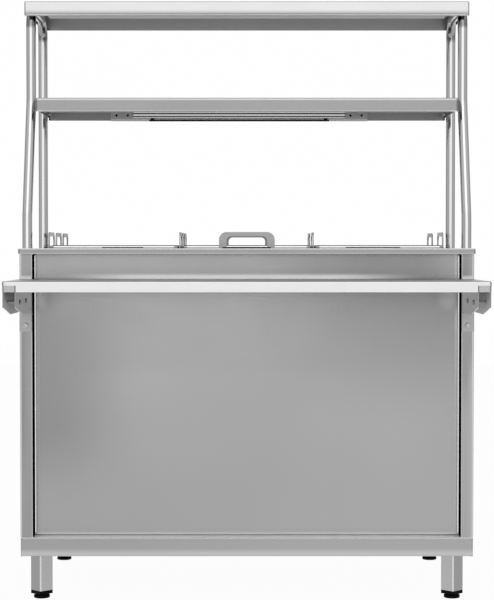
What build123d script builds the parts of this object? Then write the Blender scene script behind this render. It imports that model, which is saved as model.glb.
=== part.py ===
from build123d import *
import os

# Bain marie counter: a steel cabinet on four legs with a heated water bath, six lidded
# containers, a tray shelf on the customer side and a tube gantry with two shelves and a lamp.
# Millimetres, +Z up, floor at Z = 0, customer side towards -Y, origin under the middle of the
# whole footprint. A "back" size is measured from the worktop's front edge towards +Y.

# Worktop
worktop_width = 1120.0
worktop_height = 873.0
worktop_edge = 14.0
worktop_lip = 12.0
worktop_side_border = 76.0
worktop_rear_border = 103.0

# Sheet work and fits
sheet = 1.2
bend = 3.0
corner_to_bend = 1.5
plate = 2.5
running_gap = 0.3
screw_gap = 0.2

# Cabinet
side_inset = 1.5
side_return = 31.9
side_back = 15.0
panel_back = 55.0
panel_gap = 0.4
panel_flange = 16.0
shelf_floor_top = 160.0
shelf_floor_apron = 46.5
shelf_floor_overhang = 3.0
shelf_floor_inset = 1.0
shelf_floor_lip = 14.0
shelf_floor_bend = 6.0

# Legs and feet
leg_side = 40.0
leg_wall = 2.0
leg_corner = 3.0
leg_inset = 45.7
leg_front_back = 80.0
leg_rear_border = 55.0
leg_bottom = 19.7
leg_plate_side = 68.0
leg_plate = 3.0
plug_flange = 8.7
plug_depth = 28.0
foot_radius = 20.0
foot_height = 8.0
foot_edge = 2.5
foot_stem_radius = 5.0
foot_stem_length = 42.0
foot_collar_radius = 13.5

# Gantry tubes
tube_radius = 12.5
tube_wall = 1.5
tube_inset = 16.0
tube_front_back = 60.0
tube_upper_back = 154.5
tube_rear_back = 425.0
tube_low_rise = 77.0
tube_high_drop = 1.8
tube_slant_radius = 90.0
tube_top_radius = 45.0
socket_depth = 45.0
socket_floor = 4.0
socket_length = 42.0

# Gantry shelves
upper_shelf_overhang = 1.5
upper_shelf_reach = 28.5
upper_shelf_rear = 22.0
upper_shelf_rise = 619.0
upper_shelf_apron = 36.0
upper_shelf_end = 25.0
upper_shelf_lip = 12.0
upper_shelf_bend = 9.0
upper_shelf_stiffener = 60.0
upper_stiffener_inset = 58.0
middle_shelf_spacer = 1.5
middle_shelf_reach = 48.5
middle_shelf_rear = 16.0
middle_shelf_rise = 376.2
middle_shelf_apron = 34.5
middle_shelf_end = 28.0
middle_shelf_lip = 20.0
middle_shelf_bend = 5.0
middle_lip_bend = 2.5
shelf_bolt_radius = 3.0
shelf_bolt_head = 4.0
shelf_bolt_across = 10.0
shelf_bolt_drop = 17.0
shelf_bolt_reach = 8.0

# Lamp
lamp_centre = -20.0
lamp_setback = 154.0
lamp_length = 546.0
lamp_bracket_width = 58.0
lamp_bracket_height = 41.0
lamp_bracket_depth = 40.0
lamp_bracket_plate = 2.0
lamp_lip_length = 99.0
lamp_lip_drop = 6.0
lamp_hole_radius = 2.4
lamp_hole_spacing = 29.0
lamp_hole_rise = 8.6
reflector_depth = 54.0
reflector_sheet = 1.0
reflector_rear_drop = 36.0
reflector_slope = 10.0
reflector_rail = 4.0
reflector_groove = 2.6
reflector_groove_depth = 2.5
reflector_groove_drops = (25.8, 33.6)
lamp_tube_radius = 8.0
lamp_tube_drop = 33.0
lamp_socket_length = 16.0
lamp_socket_width = 22.0
guard_height = 4.0
guard_depth = 10.0
lamp_screw_head = 3.6
lamp_screw_head_height = 2.2

# Tray shelf and its arms
tray_reach = 305.0
tray_drop = 75.5
tray_edge = 25.0
tray_bend = 4.0
tray_rear_back = 12.0
tray_notch_height = 15.0
arm_width = 30.4
arm_depth = 55.0
arm_front_depth = 35.0
arm_chamfer = 131.0
arm_base_depth = 104.0
cross_bolt_first = 75.0
cross_bolt_pitch = 117.0
cross_bolt_drop = 24.5
cross_bolt_radius = 4.0
cross_bolt_head = 3.5
cross_bolt_across = 11.0
base_bolt_radius = 3.0
base_bolt_head_radius = 6.6
base_bolt_head = 4.0
base_bolt_dome = 1.4
base_bolt_rise = 15.0
base_bolt_pitch = 66.0
base_bolt_socket = 5.0
base_bolt_nut = 5.0
base_bolt_nut_across = 10.0

# Water bath
bath_back = 92.0
bath_width = 510.0
bath_depth = 204.0
bath_wall = 1.2
bath_corner = 16.0
bath_flange = 15.0
jacket_gap = 12.0
jacket_wall = 1.0
heater_radius = 4.25
heater_leg_gap = 110.0
heater_front_gap = 40.0
heater_lift = 22.0
heater_tail = 14.0
heater_nut_across = 17.0
heater_nut_height = 6.0
bar_width = 22.0
bar_height = 10.0
bar_ledge = 10.0
probe_radius = 3.0
probe_length = 120.0
probe_lift = 38.0
probe_gap = 26.5

# Drain
drain_side_gap = 104.0
drain_rear_gap = 132.0
drain_radius = 13.5
drain_wall = 2.0
drain_flange_radius = 30.0
drain_flange = 2.0
drain_fall = 77.8
drain_bend = 32.0
drain_run = 115.0
valve_length = 62.0
valve_across = 34.0
valve_stem_radius = 5.0
valve_stem = 12.0
valve_collar_radius = 8.0
valve_nut_across = 13.0
valve_nut = 4.0
lever_length = 95.0
lever_width = 14.0
lever_thickness = 4.0
lever_boss_radius = 10.0
spigot_shoulder_radius = 14.0
spigot_shoulder = 2.0
spigot_length = 45.0
spigot_radius = 10.0

# Controls on the service side
fascia_inset = 29.0
fascia_height = 166.0
knob_x = 330.0
knob_rise = 90.0
knob_skirt_radius = 23.0
knob_skirt = 3.0
knob_grip_radius = 17.0
knob_grip = 15.0
knob_flutes = 9
knob_flute_radius = 4.0
knob_mark = 1.2
thermostat_width = 48.0
thermostat_depth = 40.0
shaft_radius = 3.0
switch_x = (210.0, 150.0)
rocker_width = 17.0
rocker_half = 11.5
rocker_rise = 4.0
rocker_dip = 1.8
rocker_tilt = 10.0
rocker_room = 1.1
switch_flange = 2.0
switch_frame = 3.0
switch_depth = 18.0
pilot_x = (95.0, 55.0)
pilot_radius = 5.0
pilot_bezel_radius = 7.0
pilot_bezel = 2.0
pilot_depth = 16.0
gland_inset = 117.3
gland_across = 24.0
gland_body = 9.0
gland_nut_radius = 10.5
gland_nut = 12.0
gland_bore = 5.5
gland_thread_radius = 9.5
gland_thread = 12.0

# Containers and lids
column_gap = 6.5
rim_support = 10.0
rim_spacing = 1.0
rim_width = 13.0
rim_thickness = 1.2
rim_corner = 14.0
container_depth = 150.0
container_wall = 1.0
container_corner = 22.0
container_taper = 2.0
container_foot = 14.0
handle_length = 139.0
handle_height = 40.5
handle_thickness = 2.5
handle_leg = 19.0
handle_bar = 10.4
handle_outer = 19.0
handle_inner = 11.0
handle_recess = 121.0
handle_recess_height = 3.0
lid_margin = 2.0
lid_corner = 14.0
lid_skirt = 4.8
lid_rise = 1.9
lid_slope = 9.0
lid_wall = 0.9
lid_notch_height = 2.2
lid_notch_handle = 118.0
lid_notch_third = 103.0
lid_notch_third_shift = 22.0
lid_notch_half = 136.0
lid_notch_half_shift = -17.5
well_length = 112.0
well_width = 64.0
well_depth = 18.0
well_corner = 12.0
strap_width = 24.0
strap_thickness = 2.0

# Places worked out from the sizes above
worktop_depth = bath_back + bath_width + worktop_rear_border
worktop_front = (tray_reach - worktop_depth) / 2
worktop_under = worktop_height - sheet
edge_bottom = worktop_height - worktop_edge
side_outer = worktop_width / 2 - side_inset
side_inner = side_outer - side_return
side_length = worktop_depth - 2 * side_back
upper_shelf_top = worktop_height + upper_shelf_rise
middle_shelf_top = worktop_height + middle_shelf_rise
middle_under = middle_shelf_top - sheet
tube_x = worktop_width / 2 - tube_inset
tube_run = upper_shelf_top - sheet - tube_radius
tube_foot = edge_bottom - socket_depth
tube_low_bend = worktop_height + tube_low_rise
tube_high_bend = middle_shelf_top - tube_high_drop
tray_top = worktop_height - tray_drop
tray_bottom = tray_top - tray_edge
arm_outer = side_outer
arm_inner = arm_outer - arm_width
arm_base_bottom = tray_bottom - arm_base_depth
bath_length = worktop_width - 2 * worktop_side_border
bath_floor = worktop_under - bath_depth
rim_top = worktop_height + rim_thickness
rim_full = bath_width + 2 * rim_support
column_pitch = (bath_length + 2 * rim_support + column_gap) / 3
rim_length = column_pitch - column_gap


def y_at(back):
    """Y of a plane that lies this far behind the worktop's front edge."""
    return worktop_front + back


def keep(piece, name):
    """Labels a finished piece and writes its file."""
    piece.part.label = name
    export_step(piece.part, f"parts/{name}.step")


def block(x, y, z, mode=Mode.ADD):
    """A box between pairs of X, Y and Z, in the part being built."""
    with Locations((sum(x) / 2, sum(y) / 2, sum(z) / 2)):
        Box(abs(x[1] - x[0]), abs(y[1] - y[0]), abs(z[1] - z[0]), mode=mode)


def rod(start, direction, radius, length, mode=Mode.ADD):
    """A round bar from a point along a direction, in the part being built."""
    with Locations(Plane(start, z_dir=direction)):
        Cylinder(radius, length, align=(Align.CENTER, Align.CENTER, Align.MIN), mode=mode)


def hexagon(start, direction, across, length):
    """A hexagonal head or nut from a point along a direction, in the part being built."""
    level = (0, 1, 0) if direction[0] else (1, 0, 0)
    with BuildSketch(Plane(start, level, direction)) as outline:
        RegularPolygon(across / 2, 6, major_radius=False)
    extrude(outline.sketch, amount=length)


def folded_tray(plane, width, depth, height, wall, radius, square=False):
    """Sheet folded back on all four sides of an outer face on the plane, with round or square corners."""
    outward = Axis(plane.origin, plane.z_dir)
    with BuildPart(plane) as tray:
        Box(width, depth, height, align=(Align.CENTER, Align.CENTER, Align.MAX))
        if not square:
            fillet(tray.edges().filter_by(outward), radius * corner_to_bend)
        fillet(tray.faces().sort_by(outward)[-1].edges(), radius)
        offset(amount=-wall, openings=tray.faces().sort_by(outward)[0])
    return tray.part


def turned_edge(front, bottom, half, radius, lip):
    """The foot of a front apron turned back into a lip by a round bend, in the part being built."""
    block((-half, half), (front - sheet, front + 2 * sheet), (bottom, bottom + radius), Mode.SUBTRACT)
    with BuildSketch(Plane((-half, front, bottom), (0, 1, 0), (1, 0, 0))) as profile:
        with BuildLine():
            FilletPolyline((0, 2 * radius), (0, 0), (lip, 0), radius=radius)
            offset(amount=sheet, side=Side.LEFT)
        make_face()
    extrude(profile.sketch, amount=2 * half)


os.makedirs("parts", exist_ok=True)

# Worktop: a folded sheet with a lip all round, the bath opening and a hole for each tube
worktop_plane = Plane((0, y_at(worktop_depth / 2), worktop_height))
bath_y = y_at(bath_back + bath_width / 2)
with BuildPart() as worktop:
    add(folded_tray(worktop_plane, worktop_width, worktop_depth, worktop_edge, sheet, bend))
    with BuildSketch(worktop_plane.offset(-worktop_edge)):
        RectangleRounded(worktop_width - sheet, worktop_depth - sheet, bend)
        Rectangle(worktop_width - 2 * worktop_lip, worktop_depth - 2 * worktop_lip, mode=Mode.SUBTRACT)
    extrude(amount=sheet)
    with BuildSketch(Plane((0, bath_y, worktop_height))):
        RectangleRounded(bath_length, bath_width, bath_corner)
    extrude(amount=-2 * sheet, mode=Mode.SUBTRACT)
    for side in (-1, 1):
        for back in (tube_front_back, tube_rear_back):
            top = (side * tube_x, y_at(back), worktop_height)
            rod(top, (0, 0, -1), tube_radius + running_gap, worktop_edge, Mode.SUBTRACT)
keep(worktop, "worktop")

# Side panels: each is folded inwards on four sides; the front return is the stile, which is folded
# back again as far as the front panel
side_height = edge_bottom - shelf_floor_top
side_middle = (edge_bottom + shelf_floor_top) / 2
base_bolt_x = (arm_outer + arm_inner) / 2
base_bolt_heights = [arm_base_bottom + base_bolt_rise + n * base_bolt_pitch for n in range(2)]
for side, name in ((-1, "left"), (1, "right")):
    outer_face = Plane((side * side_outer, y_at(worktop_depth / 2), side_middle), (0, 1, 0), (side, 0, 0))
    with BuildPart() as side_panel:
        add(folded_tray(outer_face, side_length, side_height, side_return, sheet, bend, square=True))
        fold_x = (side * side_inner, side * (side_inner + sheet))
        fold_y = (y_at(side_back + sheet), y_at(panel_back + sheet))
        block(fold_x, fold_y, (shelf_floor_top + sheet, edge_bottom - sheet))
        for back in (tube_front_back, tube_rear_back):
            top = (side * tube_x, y_at(back), edge_bottom)
            rod(top, (0, 0, -1), tube_radius + running_gap, 2 * sheet, Mode.SUBTRACT)
        for height in base_bolt_heights:
            front = (side * base_bolt_x, y_at(side_back), height)
            rod(front, (0, 1, 0), base_bolt_radius + screw_gap, 2 * sheet, Mode.SUBTRACT)
    keep(side_panel, f"side_panel_{name}")

# Front panel: a shallow folded tray set back between the stiles, from the bottom shelf to the worktop
panel_width = 2 * (side_inner - panel_gap)
panel_height = worktop_under - shelf_floor_top
panel_face = Plane((0, y_at(panel_back), shelf_floor_top + panel_height / 2), (1, 0, 0), (0, -1, 0))
with BuildPart() as front_panel:
    add(folded_tray(panel_face, panel_width, panel_height, panel_flange, sheet, bend, square=True))
keep(front_panel, "front_panel")

# Bottom shelf: the floor of the cabinet, folded down to a deep apron all round
floor_plane = Plane((0, y_at(worktop_depth / 2), shelf_floor_top))
floor_width = 2 * (side_outer - shelf_floor_inset)
floor_depth = side_length + 2 * shelf_floor_overhang
with BuildPart() as bottom_shelf:
    add(folded_tray(floor_plane, floor_width, floor_depth, shelf_floor_apron, sheet, bend))
    floor_front = y_at(side_back - shelf_floor_overhang)
    floor_bottom = shelf_floor_top - shelf_floor_apron
    turned_edge(floor_front, floor_bottom, floor_width / 2 - 2 * bend, shelf_floor_bend, shelf_floor_lip)
keep(bottom_shelf, "bottom_shelf")

# Legs: square tube turned 45 degrees under a welded plate, with a plug and a screw foot
leg_half = side_outer - leg_inset
leg_rear_back = worktop_depth - leg_rear_border
leg_places = {
    "front_left": (-leg_half, y_at(leg_front_back)),
    "front_right": (leg_half, y_at(leg_front_back)),
    "rear_left": (-leg_half, y_at(leg_rear_back)),
    "rear_right": (leg_half, y_at(leg_rear_back)),
}
leg_top = shelf_floor_top - sheet
plug_bottom = leg_bottom - plug_flange
leg_inside = leg_side - 2 * leg_wall
with BuildPart() as legs:
    for leg_x, leg_y in leg_places.values():
        with BuildSketch(Plane((leg_x, leg_y, leg_bottom)).rotated((0, 0, 45))):
            RectangleRounded(leg_side, leg_side, leg_corner)
            RectangleRounded(leg_inside, leg_inside, leg_corner - leg_wall, mode=Mode.SUBTRACT)
        extrude(amount=leg_top - leg_bottom)
        with BuildSketch(Plane((leg_x, leg_y, leg_top))):
            RectangleRounded(leg_plate_side, leg_plate_side, leg_corner)
        extrude(amount=-leg_plate)
keep(legs, "legs")

with BuildPart() as leg_plugs:
    for leg_x, leg_y in leg_places.values():
        turned = Plane((leg_x, leg_y, plug_bottom)).rotated((0, 0, 45))
        with BuildSketch(turned):
            RectangleRounded(leg_side, leg_side, leg_corner)
        extrude(amount=plug_flange)
        with BuildSketch(turned.offset(plug_flange)):
            plug_side = leg_inside - 2 * screw_gap
            RectangleRounded(plug_side, plug_side, leg_corner - leg_wall)
        extrude(amount=plug_depth)
        bottom = (leg_x, leg_y, plug_bottom)
        rod(bottom, (0, 0, 1), foot_stem_radius + running_gap, plug_flange + plug_depth, Mode.SUBTRACT)
keep(leg_plugs, "leg_plugs")

for name, (leg_x, leg_y) in leg_places.items():
    with BuildPart() as foot:
        rod((leg_x, leg_y, 0), (0, 0, 1), foot_radius, foot_height)
        fillet(foot.edges().filter_by(GeomType.CIRCLE), foot_edge)
        rod((leg_x, leg_y, foot_height), (0, 0, 1), foot_collar_radius, plug_bottom - foot_height)
        rod((leg_x, leg_y, foot_height), (0, 0, 1), foot_stem_radius, foot_stem_length)
    keep(foot, f"foot_{name}")

# Gantry frames: one bent tube on each side, from socket to socket over the top
bolt_height = middle_shelf_top - shelf_bolt_drop
slant_share = (tube_high_bend - bolt_height) / (tube_high_bend - tube_low_bend)
bolt_backs = (tube_upper_back - slant_share * (tube_upper_back - tube_front_back), tube_rear_back)
for side, name in ((-1, "left"), (1, "right")):
    with BuildPart() as gantry_frame:
        with BuildLine(Plane((side * tube_x, 0, 0), (0, 1, 0), (1, 0, 0))):
            FilletPolyline(
                (y_at(tube_front_back), tube_foot),
                (y_at(tube_front_back), tube_low_bend),
                (y_at(tube_upper_back), tube_high_bend),
                (y_at(tube_upper_back), tube_run),
                (y_at(tube_rear_back), tube_run),
                (y_at(tube_rear_back), tube_foot),
                radius=(tube_slant_radius, tube_slant_radius, tube_top_radius, tube_top_radius),
            )
        with BuildSketch(Plane((side * tube_x, y_at(tube_front_back), tube_foot))):
            Circle(tube_radius)
            Circle(tube_radius - tube_wall, mode=Mode.SUBTRACT)
        sweep()
        for back in bolt_backs:
            middle = (side * tube_x, y_at(back), bolt_height)
            rod(middle, (-side, 0, 0), shelf_bolt_radius + screw_gap, 2 * tube_radius, Mode.SUBTRACT)
    keep(gantry_frame, f"gantry_frame_{name}")

socket_places = [(side, back) for side in (-1, 1) for back in (tube_front_back, tube_rear_back)]
with BuildPart() as gantry_sockets:
    for side, back in socket_places:
        socket_y = (y_at(back - socket_length / 2), y_at(back + socket_length / 2))
        socket_z = (tube_foot - socket_floor, edge_bottom - sheet)
        block((side * (side_outer - sheet), side * (side_inner + sheet)), socket_y, socket_z)
    chamfer(gantry_sockets.edges().filter_by(Axis.Y).group_by(Axis.Z)[-1], bend)
    for side, back in socket_places:
        seat = (side * tube_x, y_at(back), tube_foot)
        rod(seat, (0, 0, 1), tube_radius + screw_gap, socket_depth, Mode.SUBTRACT)
keep(gantry_sockets, "gantry_sockets")

# Upper shelf: a folded sheet on the tubes, with lower ends, a round front edge and a stiffener
upper_half = tube_x + tube_radius + upper_shelf_overhang
upper_front = y_at(tube_upper_back - upper_shelf_reach)
upper_rear = y_at(tube_rear_back + upper_shelf_rear)
upper_depth = upper_rear - upper_front
upper_plane = Plane((0, (upper_front + upper_rear) / 2, upper_shelf_top))
upper_bottom = upper_shelf_top - upper_shelf_apron
with BuildPart() as upper_shelf:
    add(folded_tray(upper_plane, 2 * upper_half, upper_depth, upper_shelf_apron, sheet, bend))
    end_y = (upper_front + 2 * bend, upper_rear - 2 * bend)
    end_z = (upper_bottom, upper_shelf_top - upper_shelf_end)
    block((-2 * upper_half, 2 * upper_half), end_y, end_z, Mode.SUBTRACT)
    turned_edge(upper_front, upper_bottom, upper_half - 2 * bend, upper_shelf_bend, upper_shelf_lip)
    stiffener_half = upper_half - upper_stiffener_inset
    stiffener_x = (-stiffener_half, stiffener_half)
    stiffener_y = (upper_front + upper_shelf_lip - sheet, upper_front + upper_shelf_stiffener)
    block(stiffener_x, stiffener_y, (upper_bottom, upper_bottom + sheet))
    upstand_y = (stiffener_y[1] - sheet, stiffener_y[1])
    block(stiffener_x, upstand_y, (upper_bottom, upper_shelf_top - sheet / 2))
keep(upper_shelf, "upper_shelf")

# Middle shelf: a folded sheet between the tubes, bolted to them through its ends
middle_half = tube_x - tube_radius - middle_shelf_spacer
middle_front = y_at(tube_upper_back - middle_shelf_reach)
middle_rear = y_at(tube_rear_back + middle_shelf_rear)
middle_depth = middle_rear - middle_front
middle_plane = Plane((0, (middle_front + middle_rear) / 2, middle_shelf_top))
middle_bottom = middle_shelf_top - middle_shelf_apron
with BuildPart() as middle_shelf:
    middle_width = 2 * middle_half
    add(folded_tray(middle_plane, middle_width, middle_depth, middle_shelf_apron, sheet, middle_shelf_bend))
    end_y = (middle_front + 2 * middle_shelf_bend, middle_rear - 2 * middle_shelf_bend)
    end_z = (middle_bottom, middle_shelf_top - middle_shelf_end)
    block((-middle_width, middle_width), end_y, end_z, Mode.SUBTRACT)
    lip_half = middle_half - middle_shelf_lip
    turned_edge(middle_front, middle_bottom, lip_half, middle_lip_bend, middle_shelf_lip)
    for back in bolt_backs:
        end = (-middle_half, y_at(back), bolt_height)
        rod(end, (1, 0, 0), shelf_bolt_radius + screw_gap, middle_width, Mode.SUBTRACT)
keep(middle_shelf, "middle_shelf")

with BuildPart() as shelf_bolts:
    for side in (-1, 1):
        for back in bolt_backs:
            seat_x = side * (middle_half - sheet)
            hexagon((seat_x, y_at(back), bolt_height), (-side, 0, 0), shelf_bolt_across, shelf_bolt_head)
            rod((seat_x, y_at(back), bolt_height), (side, 0, 0), shelf_bolt_radius, shelf_bolt_reach)
            shelf_end = (side * middle_half, y_at(back), bolt_height)
            rod(shelf_end, (side, 0, 0), shelf_bolt_across / 2, middle_shelf_spacer)
keep(shelf_bolts, "shelf_bolts")

# Lamp: two folded brackets under the middle shelf with a reflector, tube and guard between them
lamp_front = middle_front + lamp_setback
lamp_ends = (lamp_centre - lamp_length / 2, lamp_centre + lamp_length / 2)
bracket_bottom = middle_under - lamp_bracket_height
with BuildPart() as lamp_brackets:
    for inward, end in ((1, lamp_ends[0]), (-1, lamp_ends[1])):
        plate_x = (end, end - inward * lamp_bracket_width)
        lip_x = (plate_x[1], plate_x[1] + inward * lamp_lip_length)
        lamp_y = (lamp_front, lamp_front + lamp_bracket_depth)
        face_y = (lamp_front, lamp_front + lamp_bracket_plate)
        block(plate_x, face_y, (bracket_bottom, middle_under))
        block(plate_x, lamp_y, (middle_under - lamp_bracket_plate, middle_under))
        block(plate_x, lamp_y, (bracket_bottom, bracket_bottom + lamp_bracket_plate))
        block(lip_x, face_y, (bracket_bottom - lamp_lip_drop, bracket_bottom + lamp_bracket_plate))
        for sign in (-1, 1):
            hole_x = sum(plate_x) / 2 + sign * lamp_hole_spacing / 2
            hole = (hole_x, lamp_front, bracket_bottom + lamp_hole_rise)
            rod(hole, (0, 1, 0), lamp_hole_radius, lamp_bracket_plate, Mode.SUBTRACT)
        for screw_z in (bracket_bottom, middle_under - lamp_bracket_plate):
            screw = (sum(plate_x) / 2, lamp_front + lamp_bracket_depth / 2, screw_z)
            rod(screw, (0, 0, -1), lamp_screw_head, lamp_screw_head_height)
keep(lamp_brackets, "lamp_brackets")

reflector_front_drop = lamp_bracket_height - lamp_bracket_plate - running_gap
reflector_plane = Plane((lamp_ends[0], lamp_front, middle_under), (0, 1, 0), (1, 0, 0))
with BuildPart() as lamp_reflector:
    with BuildSketch(reflector_plane):
        with BuildLine():
            Polyline(
                (0, -reflector_front_drop),
                (0, -reflector_front_drop / 2),
                (reflector_slope, 0),
                (reflector_depth - reflector_slope, 0),
                (reflector_depth, -reflector_rear_drop / 2),
                (reflector_depth, -reflector_rear_drop),
            )
            offset(amount=reflector_sheet, side=Side.RIGHT)
        make_face()
    extrude(amount=lamp_length)
    rail_y = (lamp_front, lamp_front + reflector_rail)
    block(lamp_ends, rail_y, (middle_under - reflector_front_drop, middle_under - reflector_front_drop / 2))
    groove_y = (lamp_front, lamp_front + reflector_groove_depth)
    for drop in reflector_groove_drops:
        groove_z = (middle_under - drop - reflector_groove, middle_under - drop)
        block(lamp_ends, groove_y, groove_z, Mode.SUBTRACT)
keep(lamp_reflector, "lamp_reflector")

lamp_axis_y = lamp_front + reflector_depth / 2
lamp_axis_z = middle_under - lamp_tube_drop
with BuildPart() as lamp_sockets:
    for inward, end in ((1, lamp_ends[0]), (-1, lamp_ends[1])):
        socket_x = (end, end + inward * lamp_socket_length)
        socket_y = (lamp_axis_y - lamp_socket_width / 2, lamp_axis_y + lamp_socket_width / 2)
        block(socket_x, socket_y, (lamp_axis_z - lamp_tube_radius, middle_under - reflector_sheet))
        mouth = (end + inward * lamp_socket_length, lamp_axis_y, lamp_axis_z)
        mouth_radius = lamp_tube_radius - 2 * reflector_sheet
        rod(mouth, (-inward, 0, 0), mouth_radius, lamp_socket_length / 2, Mode.SUBTRACT)
keep(lamp_sockets, "lamp_sockets")

with BuildPart() as lamp_tube:
    glass_start = (lamp_ends[0] + lamp_socket_length, lamp_axis_y, lamp_axis_z)
    glass_length = lamp_length - 2 * lamp_socket_length
    rod(glass_start, (1, 0, 0), lamp_tube_radius, glass_length)
    fillet(lamp_tube.edges().filter_by(GeomType.CIRCLE), reflector_sheet)
keep(lamp_tube, "lamp_tube")

guard_ends = [
    end + inward * (lamp_lip_length - lamp_bracket_width)
    for inward, end in ((1, lamp_ends[0]), (-1, lamp_ends[1]))
]
with BuildPart() as lamp_guard:
    guard_y = (lamp_front, lamp_front + guard_depth)
    guard_bottom = bracket_bottom - lamp_lip_drop
    block(guard_ends, guard_y, (guard_bottom, guard_bottom + guard_height))
    fillet(lamp_guard.edges().filter_by(Axis.X), guard_height / 4)
keep(lamp_guard, "lamp_guard")

# Tray shelf: a folded sheet across the whole front, notched at both ends for its runners
tray_front = y_at(-tray_reach)
tray_depth = tray_reach + tray_rear_back
tray_plane = Plane((0, tray_front + tray_depth / 2, tray_top))
with BuildPart() as tray_shelf:
    add(folded_tray(tray_plane, worktop_width, tray_depth, tray_edge, sheet, tray_bend))
    for side in (-1, 1):
        notch_x = (side * arm_inner, side * worktop_width / 2)
        notch_y = (tray_front, tray_front + 2 * tray_bend)
        block(notch_x, notch_y, (tray_bottom, tray_bottom + tray_notch_height), Mode.SUBTRACT)
keep(tray_shelf, "tray_shelf")

# Tray arms: two cheeks folded forward from a plate that is bolted to the stile
arm_top = tray_bottom
arm_tip = tray_front + sheet
arm_root = y_at(side_back)
cross_bolt_z = tray_bottom - cross_bolt_drop
cross_bolt_ys = [tray_front + cross_bolt_first + n * cross_bolt_pitch for n in range(2)]
with BuildPart() as tray_brackets:
    for side in (-1, 1):
        for cheek_x in (arm_inner, arm_outer - plate):
            start = side * cheek_x if side > 0 else side * cheek_x - plate
            with BuildSketch(Plane((start, 0, 0), (0, 1, 0), (1, 0, 0))):
                with BuildLine():
                    Polyline(
                        (arm_root, tray_bottom - arm_depth),
                        (arm_tip + arm_chamfer, tray_bottom - arm_depth),
                        (arm_tip, tray_bottom - arm_front_depth),
                        (arm_tip, arm_top),
                        (arm_root, arm_top),
                        close=True,
                    )
                make_face()
            extrude(amount=plate)
        block((side * arm_inner, side * arm_outer), (arm_root - plate, arm_root), (arm_base_bottom, arm_top))
        for y in cross_bolt_ys:
            outside = (side * arm_outer, y, cross_bolt_z)
            rod(outside, (-side, 0, 0), cross_bolt_radius + screw_gap, arm_width, Mode.SUBTRACT)
        for height in base_bolt_heights:
            front = (side * base_bolt_x, arm_root, height)
            rod(front, (0, -1, 0), base_bolt_radius + screw_gap, plate, Mode.SUBTRACT)
keep(tray_brackets, "tray_brackets")

# Runners: a channel under each end of the tray that fills its notch and lies on the arm's cheeks
runner_height = tray_edge - sheet
runner_length = worktop_front - arm_tip
with BuildPart() as tray_runners:
    for side in (-1, 1):
        runner_middle = (side * base_bolt_x, arm_tip + runner_length / 2, tray_top - sheet)
        add(folded_tray(Plane(runner_middle), arm_width, runner_length, runner_height, sheet, bend))
keep(tray_runners, "tray_runners")

with BuildPart() as tray_bolts:
    for side in (-1, 1):
        for height in base_bolt_heights:
            seat = (side * base_bolt_x, arm_root - plate, height)
            rod(seat, (0, -1, 0), base_bolt_head_radius, base_bolt_head)
    fillet(tray_bolts.edges().filter_by(GeomType.CIRCLE).group_by(Axis.Y)[0], base_bolt_dome)
    for side in (-1, 1):
        for height in base_bolt_heights:
            seat = (side * base_bolt_x, arm_root - plate, height)
            rod(seat, (0, 1, 0), base_bolt_radius, plate + sheet)
            hexagon((seat[0], arm_root + sheet, height), (0, 1, 0), base_bolt_nut_across, base_bolt_nut)
            with BuildSketch(Plane((seat[0], seat[1] - base_bolt_head, height), z_dir=(0, 1, 0))):
                RegularPolygon(base_bolt_socket / 2, 6, major_radius=False)
            extrude(amount=base_bolt_head / 2, mode=Mode.SUBTRACT)
        for y in cross_bolt_ys:
            rod((side * arm_outer, y, cross_bolt_z), (-side, 0, 0), cross_bolt_radius, arm_width)
            inside = (side * arm_inner, y, cross_bolt_z)
            hexagon(inside, (-side, 0, 0), cross_bolt_across, cross_bolt_head)
keep(tray_bolts, "tray_bolts")

# Water bath: a pressed tank under the worktop, with a flange and ledges for the container bars
bath_top = worktop_under
bath_outer_length = bath_length + 2 * bath_wall
bath_outer_width = bath_width + 2 * bath_wall
bath_rear = bath_y + bath_outer_width / 2
bar_x = column_pitch / 2
probe_x = column_pitch - heater_leg_gap / 2 - probe_gap
drain_x = bath_length / 2 - drain_side_gap
drain_y = bath_y + bath_width / 2 - drain_rear_gap
heater_z = bath_floor + heater_lift
heater_columns = (-column_pitch, 0, column_pitch)
heater_legs = [x + sign * heater_leg_gap / 2 for x in heater_columns for sign in (-1, 1)]
bar_bottom = worktop_height - bar_height
with BuildPart() as water_bath:
    with BuildSketch(Plane((0, bath_y, bath_top))):
        RectangleRounded(bath_outer_length, bath_outer_width, bath_corner + bath_wall)
    extrude(amount=-(bath_depth + bath_wall))
    fillet(water_bath.faces().sort_by(Axis.Z)[0].edges(), bath_corner / 2)
    offset(amount=-bath_wall, openings=water_bath.faces().sort_by(Axis.Z)[-1])
    with BuildSketch(Plane((0, bath_y, bath_top))):
        RectangleRounded(bath_length + 2 * bath_flange, bath_width + 2 * bath_flange, bath_corner)
        RectangleRounded(bath_length + bath_wall, bath_width + bath_wall, bath_corner, mode=Mode.SUBTRACT)
    extrude(amount=-bath_wall)
    for side in (-1, 1):
        for wall_y, inward in ((bath_y - bath_width / 2, 1), (bath_y + bath_width / 2, -1)):
            ledge_x = (side * bar_x - bar_width / 2, side * bar_x + bar_width / 2)
            ledge_y = (wall_y - inward * bath_wall / 2, wall_y + inward * bar_ledge)
            block(ledge_x, ledge_y, (bar_bottom - bar_ledge, bar_bottom))
    for x in heater_legs:
        rod((x, bath_rear, heater_z), (0, -1, 0), heater_radius + screw_gap, 2 * bath_wall, Mode.SUBTRACT)
    probe_z = bath_floor + probe_lift
    rod((probe_x, bath_rear, probe_z), (0, -1, 0), probe_radius + screw_gap, 2 * bath_wall, Mode.SUBTRACT)
    drain_top = (drain_x, drain_y, bath_floor)
    rod(drain_top, (0, 0, -1), drain_radius + screw_gap, 2 * bath_wall, Mode.SUBTRACT)
keep(water_bath, "water_bath")

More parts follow.
